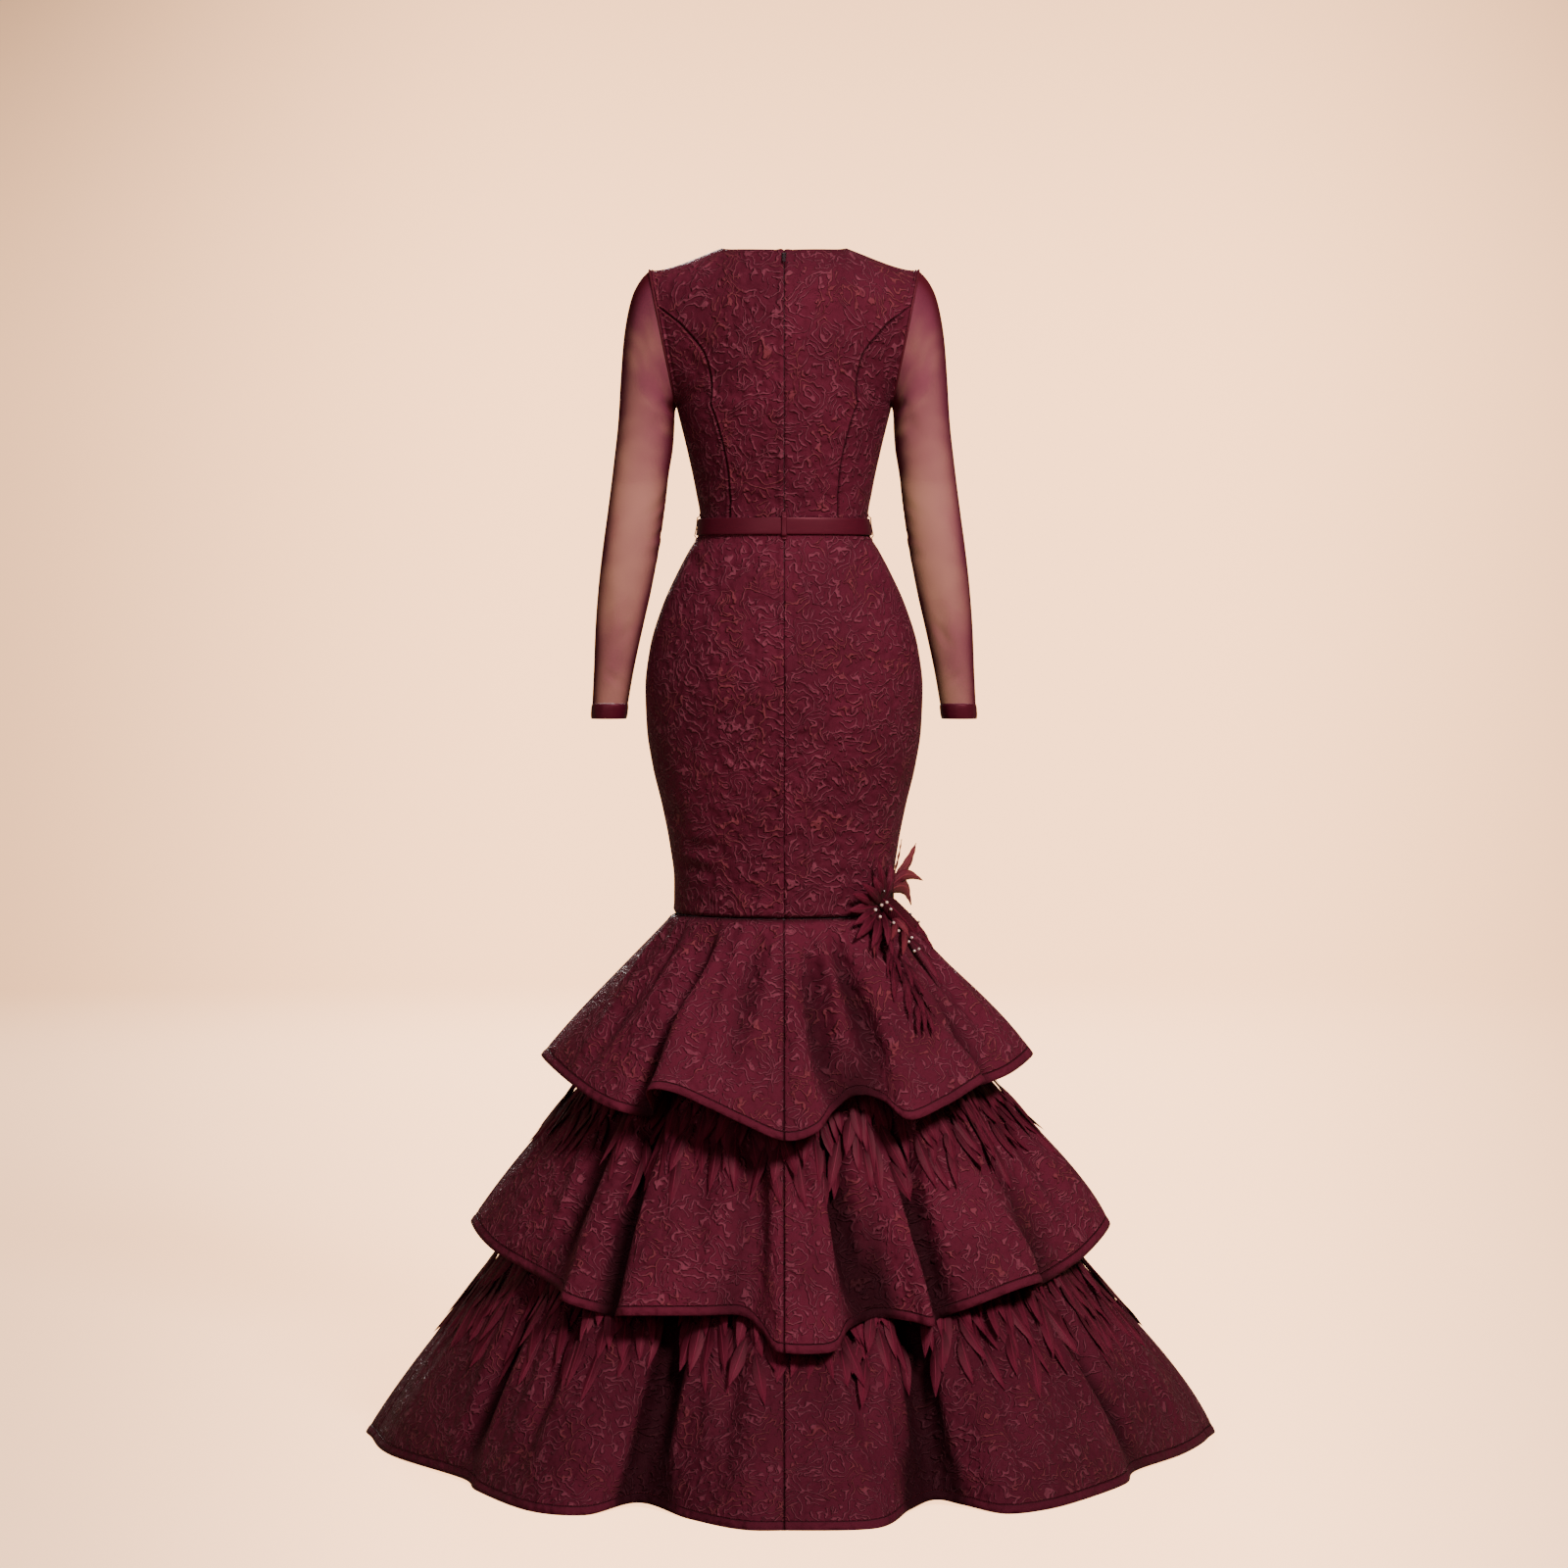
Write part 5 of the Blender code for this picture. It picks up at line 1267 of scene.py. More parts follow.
def sew_skirt(sizes):
    for number, (name, left, right, columns) in enumerate(
        (("back_R", 0, 90, 62), ("front", 90, 270, 112), ("back_L", 270, 360, 62))
    ):
        cloth = skirt_cloth(left, right, columns)
        if name != "back_L":
            cloth.seam(cloth.from_right)
        if name != "back_R":
            cloth.seam(cloth.from_left)
        if name == "back_R":
            zip_lips(cloth, cloth.from_left, False)
        if name == "back_L":
            zip_lips(cloth, cloth.from_right, True)
        anchor = {"back_R": 0, "front": columns // 2, "back_L": -1}[name]
        flat = cloth.flat_map(anchor, 0.8 * number + 5.3)
        sew(f"skirt_{name}", cloth, flat, "jacquard", sizes.cloth)


def hem_band(cloth):
    """The turned-up hem stands a little proud, under a line of stitching that puckers it."""
    up = cloth.from_last
    cloth.relief += 0.0008 * (1 / (1 + np.exp((up - HEM_BAND) / 0.0009)))
    cloth.relief -= 0.0013 * hump(up - HEM_BAND, 0.0014)
    wave = np.sin(cloth.from_left / PUCKER_PITCH * math.tau + 2.0 * np.sin(cloth.from_left / 0.037))
    cloth.relief += 0.00045 * wave * hump(up - HEM_BAND, 0.0060)


FLOUNCE_GRIDS = ((40, 132), (46, 156), (56, 176))
FLOUNCE_PARTS = (("back_R", 0, 90), ("front", 90, 270), ("back_L", -90, 0))
DRAPES = {}
HOLLOWS = {}
# A hollow is where cloth lies back from its own ring, smoothed over HOLLOW_SPREAD degrees. Its painted shade
# starts at a depth of HOLLOW_START and is full HOLLOW_RANGE deeper. Soft creases count by CREASE_WEIGHT.
HOLLOW_SPREAD = 7.0
HOLLOW_START = 0.0020
HOLLOW_RANGE = 0.0110
CREASE_WEIGHT = 0.7
TURN_STEP = 0.5
FALL_STEPS = 40
# The least painted shade of each flounce, which darkens all of the lowest one, and the turn and width of
# hollows that light reaches.
LEAST_PAINTED_SHADE = (0.0, 0.0, 0.30)
OPEN_FOLDS = ((), ((-8, 7),), ())
OPEN_LIGHT = 0.8


def drape(number, fold_depth):
    """The three cloths of one flounce with their folds, made once."""
    if number in DRAPES:
        return DRAPES[number]
    rows, columns = FLOUNCE_GRIDS[number - 1]
    falls = spread(rows) ** 0.96
    deep = [
        Crease(turn, start, to_turn, to_fall, width, depth * fold_depth, root)
        for start, root, rows_of in ((VALLEY_START, 0, FLOUNCE_VALLEYS), (0.0, 1, FLOUNCE_GATHERS))
        for turn, to_turn, to_fall, width, depth in rows_of[number - 1]
    ]
    for name, left, right in FLOUNCE_PARTS:
        shares = seamed(2 * columns if name == "front" else columns, 0.4)
        cloth = Cloth(FLOUNCES[number - 1], falls, shares, left, right)
        cloth.crease(deep)
        cloth.relief *= np.clip(cloth.from_first / 0.060, 0, 1) ** 0.8
        DRAPES.setdefault(number, []).append(cloth)
    return DRAPES[number]


def between(table, j, i, after, step, place):
    """Values of a table between row j and the next one, and between the columns i and after."""
    upper = mix(table[j, i], table[j, after], place - i)
    lower = mix(table[j + 1, i], table[j + 1, after], place - i)
    return mix(upper, lower, step - j)


def relief_at(number, turns, falls, fold_depth):
    """How far the folds of a flounce lie in or out at some places of it."""
    turns, falls = np.broadcast_arrays(np.asarray(turns, float), np.asarray(falls, float))
    found = np.zeros(turns.shape)
    for cloth in drape(number, fold_depth):
        row, column = cloth.turns[0], cloth.levels[:, 0]
        place = np.interp(turns, row, np.arange(len(row)))
        step = np.interp(falls, column, np.arange(len(column)))
        i = np.minimum(place.astype(int), len(row) - 2)
        j = np.minimum(step.astype(int), len(column) - 2)
        here = (turns >= row[0]) & (turns <= row[-1])
        found = np.where(here, between(cloth.relief, j, i, i + 1, step, place), found)
    return found


def hollow_table(number, fold_depth):
    """The hollows of one flounce from 0 to 1: a row for each step down it, a column for each step round."""
    ring, steps = np.meshgrid(np.arange(-90, 270, TURN_STEP), np.linspace(0, 1, FALL_STEPS + 1))
    points = FLOUNCES[number - 1].points(ring, steps)
    reach = np.hypot(points[..., 0], points[..., 1])
    reach = reach + CREASE_WEIGHT * relief_at(number, ring, steps, fold_depth)
    waves = np.arange(reach.shape[1] // 2 + 1)
    blur = np.exp(-0.5 * (waves * math.radians(HOLLOW_SPREAD)) ** 2)
    level = np.fft.irfft(np.fft.rfft(reach, axis=1) * blur, reach.shape[1], axis=1)
    table = np.clip((level - reach - HOLLOW_START) / HOLLOW_RANGE, 0, 1)
    for turn, width in OPEN_FOLDS[number - 1]:
        table *= 1 - OPEN_LIGHT * hump(ring - turn, width)
    return table


def hollow_at(number, turns, falls, fold_depth):
    """How far some places of a flounce lie back between the folds beside them, from 0 to 1."""
    if number not in HOLLOWS:
        HOLLOWS[number] = hollow_table(number, fold_depth)
    table = HOLLOWS[number]
    turns, falls = np.broadcast_arrays(np.asarray(turns, float), np.asarray(falls, float))
    place = ((turns + 90) / TURN_STEP) % table.shape[1]
    step = np.clip(falls, 0, 1) * FALL_STEPS
    i, j = place.astype(int) % table.shape[1], np.minimum(step.astype(int), FALL_STEPS - 1)
    return between(table, j, i, (i + 1) % table.shape[1], step, place)


def sew_flounces(sizes):
    """The nine panels of the flounces. Seams and hem bands are laid on the folds that DRAPES keeps."""
    for number in (1, 2, 3):
        for part, (name, _, _) in enumerate(FLOUNCE_PARTS):
            cloth = drape(number, sizes.fold_depth)[part]
            folds = cloth.relief.copy()
            if number == 1:
                cloth.groove(cloth.from_first, **KNEE_SEAM)
            cloth.seam(cloth.from_right, **FLOUNCE_SEAM).seam(cloth.from_left, **FLOUNCE_SEAM)
            hem_band(cloth)
            # Painted shade between the folds, and over all of the lowest flounce.
            tone = hollow_at(number, cloth.turns, cloth.levels, sizes.fold_depth)
            made = sew(
                f"tier_{number}_{name}", cloth, cloth.fan_map(1.9 * number + 0.63 * part + 8.0), "jacquard",
                sizes.cloth, tone=np.maximum(tone, LEAST_PAINTED_SHADE[number - 1]),
            )
            cloth.relief = folds
            store(made, "band", 1 - 0.5 * np.clip(cloth.from_last / HEM_BAND, 0, 2))


def sew_underskirt():
    for name, left, right in (("back", -90, 90), ("front", 90, 270)):
        levels = np.linspace(THIRD_SEAM_HEIGHT, UNDERSKIRT_RINGS[-1].height, 40)
        cloth = Cloth(UNDERSKIRT, levels, spread(90), left, right).crease(UNDERSKIRT_CREASES)
        cloth.seam(cloth.from_left, **LINING_SEAM).seam(cloth.from_right, **LINING_SEAM)
        sew(f"underskirt_{name}", cloth, cloth.flat_map(45, 0.0), "lining", LINING_CLOTH)


# A sleeve is painted darker and less sheer at its outlines, at the shoulder and at the wrist, as painted
# shade: each has a share and a reach.
RIM_SHARPNESS = 4.2
SHOULDER_SHADE = (0.42, 0.095)
WRIST_SHADE = (0.24, 0.12)


def sew_sleeves():
    """Sheer sleeves, one layer of net, creased at the inside of the elbow and under the arm."""
    for name, side in (("L", 1), ("R", -1)):
        levels = np.linspace(0, len(SLEEVE_RINGS) - 1, 170)
        cloth = Cloth(Sleeve(side, SLEEVE_RINGS), levels, spread(96), 0, 360, closed=True)
        cloth.crease(SLEEVE_CREASES)
        cloth.relief -= 0.0007 * hump((cloth.turns - 180) * 0.0007, 0.0016)
        cloth.relief *= np.clip(cloth.from_first / 0.012, 0, 1) * np.clip(cloth.from_last / 0.010, 0, 1)
        made = sew(f"sleeve_{name}", cloth, cloth.flat_map(0, 0.0), "sheer_mesh", 0)
        shade = np.abs(np.cos(np.radians(cloth.turns))) ** RIM_SHARPNESS
        for distance, (share, reach) in ((cloth.from_first, SHOULDER_SHADE), (cloth.from_last, WRIST_SHADE)):
            shade = shade + share * hump(distance, reach)
        store(made, "rim", np.clip(shade, 0, 1)[:, :-1])


def sew_cuffs():
    """Narrow satin bands at the wrists, a little fuller in the middle."""
    for name, side in (("L", 1), ("R", -1)):
        steps = np.linspace(0, 1, 15)
        cloth = Cloth(Sleeve(side, CUFF_RINGS), steps, spread(96), 0, 360, closed=True)
        cloth.relief += 0.0009 * (1 - np.abs(2 * steps - 1) ** 3)[:, None] - 0.0004
        cloth.relief += 0.0002 * np.sin(np.radians(cloth.turns * 9)) * np.sin(np.radians(cloth.turns * 4))
        sew(f"cuff_{name}", cloth, cloth.flat_map(0, 0.0), "satin", CUFF_CLOTH)


def rounded_strip(turns, bottom, top, inner, outer, square):
    """Turns, levels and stands of a band of rounded section laid round the body: a row for each turn."""
    clock = np.linspace(0, math.tau, STRIP_SIDES + 1)
    up, out = np.sin(clock), np.cos(clock)
    up = np.sign(up) * np.abs(up) ** square
    out = np.sign(out) * np.abs(out) ** square
    levels = (bottom + top) / 2 + (top - bottom) / 2 * up
    stands = (inner + outer) / 2 + (outer - inner) / 2 * out
    grid_turns, grid_levels = np.meshgrid(turns, levels, indexing="ij")
    return grid_turns, grid_levels, np.broadcast_to(stands, grid_turns.shape).copy()


STRIP_SIDES = 24
LOOP_CLOTH = 0.0009


def sew_belt():
    """The satin belt lies round the waist, soft at its edges, with two faint pulls along it."""
    turns = np.linspace(0.12, 359.88, 190)
    grid_turns, grid_levels, stands = rounded_strip(
        turns, BELT_BOTTOM, BELT_TOP, BELT_STAND, BELT_STAND + BELT_THICKNESS + 0.0006, 0.42
    )
    outside = stands > BELT_STAND + 0.0012
    ripple = np.sin((grid_levels - (BELT_BOTTOM + BELT_TOP) / 2) / 0.0052 + np.radians(grid_turns) * 1.4)
    stands += np.where(outside, 0.00022 * ripple, 0)
    run = np.cumsum(np.full(len(turns), 0.0031))
    flat = np.stack(np.meshgrid(run, np.linspace(0, 0.046, STRIP_SIDES + 1), indexing="ij"), axis=-1)
    made = grid_object("cloth_belt", BODY.raised(grid_turns, grid_levels, stands), flat, 1)
    merge_band(made)
    finish_piece(made, "satin", "belt")
    heights = [row.height for row in LOOP_ROWS]
    for loop in BELT_LOOPS:
        strap = Strap(BODY, Curve(heights, [row.stand - 0.0006 for row in LOOP_ROWS]))
        half_turn = math.degrees(loop.half_width / LOOP_BODY_RADIUS)
        levels = np.linspace(heights[0], heights[-1], 34)
        cloth = Cloth(strap, levels, spread(6), loop.turn - half_turn, loop.turn + half_turn)
        cloth.relief += 0.0005 * (1 - (2 * spread(6) - 1) ** 4)[None, :]
        carrier = grid_object(f"cloth_{loop.name}", cloth.placed(), cloth.flat_map(0, 0.0), BODY.facing)
        thicken(carrier, LOOP_CLOTH)
        finish_piece(carrier, "satin", loop.name)


def merge_band(made):
    """Closes the section of a band laid as a grid and turns its faces outwards."""
    bm = bmesh.new()
    bm.from_mesh(made.data)
    bmesh.ops.remove_doubles(bm, verts=bm.verts, dist=0.00001)
    ends = [edge for edge in bm.edges if edge.is_boundary]
    bmesh.ops.holes_fill(bm, edges=ends, sides=60)
    bmesh.ops.recalc_face_normals(bm, faces=bm.faces)
    bm.to_mesh(made.data)
    bm.free()


def armhole_line(side, count=60, stand=0.0004):
    """The armhole seam, up its back and down its front. Side is 1 for the wearer's right."""
    levels = np.linspace(UNDERARM_HEIGHT, TOP_LEVEL, count)
    turns = np.full(count, 90.0 * side)
    back = BODICES["back"].raised(turns, levels, np.full(count, stand))
    front = BODICES["front"].raised(turns, levels, np.full(count, stand))
    return np.concatenate([back, front[::-1][1:-1]])


def neck_line(side, pitch, inset):
    """Stitches that follow the neckline on one side of the bodice."""
    turns = np.linspace(-89, 89, 260)
    levels = BODICES[side].trimmed(turns, np.full(260, TOP_LEVEL)) - inset
    return even_line(BODICES[side], turns, levels, pitch, 0.0003)


def sew_seams(sizes):
    """Piping round the armholes, stitches along the hems and neckline, and the zip's teeth."""
    piping = piping_tree()
    for name, side in (("R", 1), ("L", -1)):
        line = closed_line(armhole_line(side))
        grown(f"armhole_piping_{name}", line, piping, "edge", Radius=0.0017, Sides=10, Step=0.004)

    sewn = sewn_tree()
    stitch = ball_shape("stitch_shape", 5, 4, lying=True)
    for number, flounce in enumerate(FLOUNCES, 1):
        turns = np.linspace(-90, 270, 1400)
        slant = np.linalg.norm(flounce.points(turns, 1.0) - flounce.points(turns, 0.0), axis=1)
        levels = 1 - (HEM_BAND + 0.0008) / slant
        places, along, normals = even_line(flounce, turns, levels, sizes.stitch_pitch, -0.0001)
        seeds = seed_points(places, along, normals, (0.00075, 0.0021, 0.00055))
        name = f"hem_stitches_{number}"
        grown(name, seeds, sewn, "edge", Shape=stitch, Unevenness=0.08, Swing=0.06, Seed=number)

    lines = [neck_line(side, sizes.stitch_pitch, 0.0052) for side in ("back", "front")]
    places, along, normals = (np.concatenate(rows) for rows in zip(*lines))
    seeds = seed_points(places, along, normals, (0.0006, 0.0020, 0.0005))
    grown("bodice_stitches", seeds, sewn, "edge", Shape=stitch, Unevenness=0.08, Swing=0.05, Seed=11)

    top = float(BODICES["back"].trimmed(np.zeros(1), np.full(1, ZIP_LEVEL))[0])
    lines = []
    for surface, low, high in ((BODY, 0.985, 1.126), (BODICES["back"], 1.150, top - 0.004)):
        for turn in (-0.34, 0.34):
            levels = np.linspace(low, high, 120)
            lines.append(even_line(surface, np.full(120, turn), levels, 0.0016, -0.0008))
    places, along, normals = (np.concatenate(rows) for rows in zip(*lines))
    seeds = seed_points(places, np.cross(normals, along), normals, (0.0008, 0.0013, 0.0007))
    grown("zip_teeth", seeds, sewn, "zip_metal", Shape=stitch, Unevenness=0.0, Swing=0.0, Seed=1)
    bpy.data.objects.remove(stitch)


# Rows of feathers on a flounce: how far down their roots lie, their length and how far their tips lift.
FeatherRow = namedtuple("FeatherRow", "fall length width lift pitch")
FEATHER_ROWS = {
    2: (
        FeatherRow(0.385, 0.060, 0.0150, 0.30, 0.0300), FeatherRow(0.320, 0.064, 0.0150, 0.32, 0.0200),
        FeatherRow(0.260, 0.062, 0.0145, 0.32, 0.0180), FeatherRow(0.200, 0.058, 0.0140, 0.34, 0.0165),
        FeatherRow(0.140, 0.054, 0.0135, 0.36, 0.0160),
    ),
    3: (
        FeatherRow(0.410, 0.066, 0.0160, 0.30, 0.0330), FeatherRow(0.345, 0.070, 0.0165, 0.32, 0.0225),
        FeatherRow(0.285, 0.068, 0.0160, 0.32, 0.0200), FeatherRow(0.220, 0.064, 0.0150, 0.34, 0.0180),
        FeatherRow(0.155, 0.060, 0.0145, 0.36, 0.0170),
    ),
}

# A feather is left out where the hollow under it is deeper than a chance between these.
DEEP_HOLLOW = (0.5, 1.3)


def sew_feathers(sizes):
    """Feathers in overlapping rows on the second and third flounces, from under the hem above."""
    points, flat = leaf_grid(8, 4, (0.22, 0.60, 0.90, 1.0, 0.96, 0.82, 0.60, 0.34, 0.03), 0.22, 0.06, 0.04)
    shape = grid_object("feather_shape", points, flat, 1)
    sewn = sewn_tree()
    for number, node in ((2, "feather_trim_upper"), (3, "feather_trim_lower")):
        flounce = FLOUNCES[number - 1]
        chance = random.Random(40 + number)
        rows = []
        for layer, row in enumerate(FEATHER_ROWS[number]):
            turns = np.linspace(-90, 270, 1200)
            ring = flounce.points(turns, np.full(1200, row.fall))
            run = lengths_along(ring)
            at = np.interp(np.arange(row.pitch / 2, run[-1], row.pitch), run, turns)
            for turn in at:
                fall = row.fall + chance.uniform(-0.028, 0.028)
                if hollow_at(number, turn, fall, sizes.fold_depth) > chance.uniform(*DEEP_HOLLOW):
                    continue
                here = flounce.points(turn, fall)
                normal = flounce.normals(turn, fall)
                onward = flounce.points(turn, fall + 0.01) - here
                length = row.length * chance.uniform(0.72, 1.18) * sizes.feather_length
                sunk = relief_at(number, turn, fall + 0.04, sizes.fold_depth)
                stand = 0.0024 + 0.0013 * layer + 0.8 * sunk
                lean = unit(onward) + 0.13 * normal * chance.uniform(0.3, 1.8)
                rows.append((here + normal * stand, lean, normal, (row.width, length, row.lift * length)))
        places, along, normals, spans = (np.array(column) for column in zip(*rows))
        seeds = seed_points(places, along, normals, spans)
        grown(
            f"feathers_{number}", seeds, sewn, "dark_feather", [node], Shape=shape, Unevenness=0.12,
            Swing=0.34, Tilt=0.45, Seed=20 + number,
        )
    bpy.data.objects.remove(shape)


# The corsage, in metres across towards the wearer's right and up from its centre, as seen square from behind,
# and out from the cloth. Bend lifts the middle of a blade and sweep moves it sideways.
Blade = namedtuple("Blade", "across up out to_across to_up to_out width bend sweep finish")
CORSAGE_CENTRE = (0.120, 0.672)
# What stands out from the cloth also comes this share of its stand towards the back, where it is seen from.
TOWARDS_BACK = 0.7
BEAD_STAND = 0.0245
CORSAGE_BLADES = (
    Blade(-0.004, 0.002, 0.006, -0.0375, 0.018, 0.012, 0.013, 0.006, 0, "dark_feather"),
    Blade(-0.004, 0.000, 0.006, -0.0425, -0.0025, 0.010, 0.014, 0.006, 0, "dark_feather"),
    Blade(-0.004, -0.002, 0.006, -0.036, -0.020, 0.010, 0.013, 0.006, 0, "dark_feather"),
    Blade(-0.002, 0.004, 0.006, -0.011, 0.0385, 0.012, 0.013, 0.007, 0, "dark_feather"),
    Blade(0.000, 0.004, 0.006, -0.005, 0.059, 0.014, 0.012, 0.007, 0, "dark_feather"),
    Blade(0.002, 0.004, 0.006, 0.012, 0.052, 0.016, 0.012, 0.008, 0, "dark_feather"),
    Blade(-0.002, 0.003, 0.008, -0.026, 0.031, 0.016, 0.012, 0.008, 0, "dark_feather"),
    Blade(0.014, 0.030, 0.012, 0.0255, 0.0795, 0.022, 0.0025, 0.002, 0, "pale_leaf"),
    Blade(-0.004, -0.006, 0.006, -0.033, -0.036, 0.010, 0.015, 0.006, 0, "dark_feather"),
    Blade(-0.002, -0.008, 0.006, -0.014, -0.048, 0.012, 0.014, 0.007, 0, "dark_feather"),
    Blade(0.002, -0.008, 0.006, 0.006, -0.045, 0.012, 0.013, 0.007, 0, "dark_feather"),
    Blade(0.012, -0.014, 0.008, 0.034, -0.040, 0.014, 0.011, 0.007, 0, "pale_leaf"),
    Blade(0.022, -0.026, 0.010, 0.044, -0.050, 0.014, 0.010, 0.006, 0, "pale_leaf"),
    Blade(0.040, -0.034, 0.010, 0.063, -0.058, 0.014, 0.010, 0.006, 0, "dark_feather"),
    Blade(0.028, -0.030, 0.010, 0.024, -0.058, 0.012, 0.009, 0.006, 0, "pale_leaf"),
    Blade(0.018, -0.020, 0.010, 0.010, -0.040, 0.012, 0.009, 0.006, 0, "pale_leaf"),
    Blade(0.013, 0.024, 0.010, 0.0435, 0.0747, 0.018, 0.0120, 0.003, -0.003, "pale_leaf"),
    Blade(0.010, 0.021, 0.012, 0.0520, 0.0280, 0.018, 0.0130, 0.004, 0.0120, "pale_leaf"),
    Blade(0.009, 0.018, 0.014, 0.0375, -0.0025, 0.018, 0.0180, 0.004, 0.0150, "pale_leaf"),
    Blade(-0.004, 0.014, 0.008, 0.058, -0.060, 0.012, 0.0240, 0.004, 0.0020, "dark_feather"),
    Blade(0.016, 0.000, 0.006, 0.066, -0.058, 0.006, 0.0150, 0.003, 0.0010, "dark_feather"),
    Blade(0.030, -0.036, 0.008, 0.074, -0.098, 0.008, 0.0120, 0.003, 0.0020, "dark_feather"),
)
Bead = namedtuple("Bead", "across up size finish")
CORSAGE_BEADS = rows_of(
    Bead,
    (-0.0084, -0.0024, 0.0042, "pearl"), (-0.0006, 0.0024, 0.0044, "pearl"),
    (0.0060, 0.0048, 0.0040, "pearl"), (0.0114, -0.0048, 0.0042, "pearl"),
    (0.0193, -0.0108, 0.0040, "pearl"), (-0.0024, -0.0116, 0.0042, "pearl"),
    (0.0145, -0.0205, 0.0040, "pearl"), (0.0205, -0.0301, 0.0040, "pearl"),
    (0.0307, -0.0265, 0.0040, "pearl"), (0.0373, -0.0398, 0.0038, "pearl"),
    (0.0331, -0.0434, 0.0038, "pearl"), (0.0398, -0.0542, 0.0038, "pearl"),
    (0.0458, -0.0530, 0.0036, "pearl"), (0.0369, -0.0133, 0.0034, "bead"),
    (0.0470, -0.0229, 0.0034, "bead"), (0.0560, -0.0400, 0.0034, "bead"), (0.0024, 0.0193, 0.0046, "bead"),
)


def cloth_behind(across, height):
    """The cloth behind a place seen from the back: its point and normal, or the nearest at the outline."""
    turns = np.linspace(0, 100, 181)
    if height >= KNEE_HEIGHT:
        surface, levels = BODY, np.full(181, height)
    else:
        surface = FLOUNCES[0]
        drop = surface.points(turns, np.zeros(181))[:, 2] - surface.points(turns, np.ones(181))[:, 2]
        levels = (KNEE_HEIGHT - height) / drop
    points = surface.points(turns, levels)
    nearest = int(np.abs(points[:, 0] + across).argmin())
    return points[nearest], surface.normals(turns[nearest], levels[nearest])


def corsage_place(across, up, out):
    """A place on the corsage in world metres."""
    x, height = CORSAGE_CENTRE[0] + across, CORSAGE_CENTRE[1] + up
    point, normal = cloth_behind(x, height)
    lifted = point + (normal + np.array([0.0, TOWARDS_BACK, 0.0])) * out
    lifted[0] = -x
    lifted[2] = height - SHOULDER_HEIGHT
    return lifted, normal


def blade_grid(row):
    """A leaf or petal from its root to its tip, arched, cupped and pointed."""
    root, normal = corsage_place(row.across, row.up, row.out)
    tip, _ = corsage_place(row.to_across, row.to_up, row.to_out)
    facing = unit(normal + np.array([0.0, 1.0, 0.15]))
    t, u = np.meshgrid(np.linspace(0, 1, 13), np.linspace(-1, 1, 7), indexing="ij")
    side = unit(np.cross(facing, tip - root))
    width = row.width / 2 * (np.sin(math.pi * t**0.75) ** 0.8 + 0.10 * (1 - t))
    middle = root + (tip - root) * t[..., None] + facing * (row.bend * np.sin(math.pi * t))[..., None]
    middle = middle + side * (row.sweep * np.sin(math.pi * t))[..., None]
    cup = -0.35 * width * u * u + 0.0008 * np.sin(t * 26 + u * 2)
    points = middle + side * (u * width)[..., None] + facing * cup[..., None]
    return points, np.stack([(u + 1) / 2, t], axis=-1)


TRAIL_LEAVES = 26
DARK_SHARE = 0.92


def trail_blades():
    """Small leaves on both sides of the trail that runs down the first flounce from the corsage."""
    chance = random.Random(5)
    rows = []
    for step in range(TRAIL_LEAVES):
        share = (step + 0.5) / TRAIL_LEAVES
        across = mix(-0.004, 0.050, share) + chance.uniform(-0.006, 0.006)
        up = mix(-0.020, -0.118, share)
        side = -1 if step % 2 else 1
        reach = chance.uniform(0.002, 0.013) * side
        finish = "dark_feather" if chance.random() < DARK_SHARE else "pale_leaf"
        rows.append(Blade(
            across, up, 0.004, across + reach + 0.004, up - chance.uniform(0.022, 0.042),
            0.003 + chance.uniform(0, 0.006), chance.uniform(0.004, 0.008), 0.003, 0.003 * side, finish,
        ))
    return rows


def sew_corsage():
    """Dark petals and paler leaves round a knot of pearls at the knee seam, with a trail of small leaves."""
    for piece_name, rows, nodes_for in (
        ("corsage_leaves", CORSAGE_BLADES, "corsage"), ("trail_leaves", trail_blades(), "corsage_trail")
    ):
        for number, finish in enumerate(("dark_feather", "pale_leaf")):
            grids = [blade_grid(row) for row in rows if row.finish == finish]
            made = joined_grids(f"{piece_name}_{finish}", grids)
            thicken(made, 0.0005)
            finish_piece(made, finish, *([] if number else [nodes_for]))
    sewn = sewn_tree()
    ball = ball_shape("bead_shape", 14, 9)
    for finish in ("pearl", "bead"):
        places, normals, sizes = [], [], []
        for row in CORSAGE_BEADS:
            if row.finish == finish:
                place, normal = corsage_place(row.across, row.up, BEAD_STAND)
                places.append(place)
                normals.append(normal)
                sizes.append((row.size,) * 3)
        along = np.cross(np.array(normals), (1.0, 0.0, 0.0))
        seeds = seed_points(np.array(places), along, np.array(normals), np.array(sizes))
        grown(f"corsage_{finish}s", seeds, sewn, finish, Shape=ball, Unevenness=0.04, Swing=0.2, Seed=3)
    bpy.data.objects.remove(ball)


def finish_zip():
    """The slider and its pull tab keep their shape, in enamelled metal."""
    for name in ("zip_slider", "zip_pull"):
        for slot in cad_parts[name].material_slots:
            slot.material = finish_named("zip_metal")


# ---------------------------------------------------------------------------------------- the stage

FLOOR = -SHOULDER_HEIGHT - 0.0005
FLOOR_RADIUS = 6.4
WALL_RADIUS = 8.4
WALL_TOP = 7.0
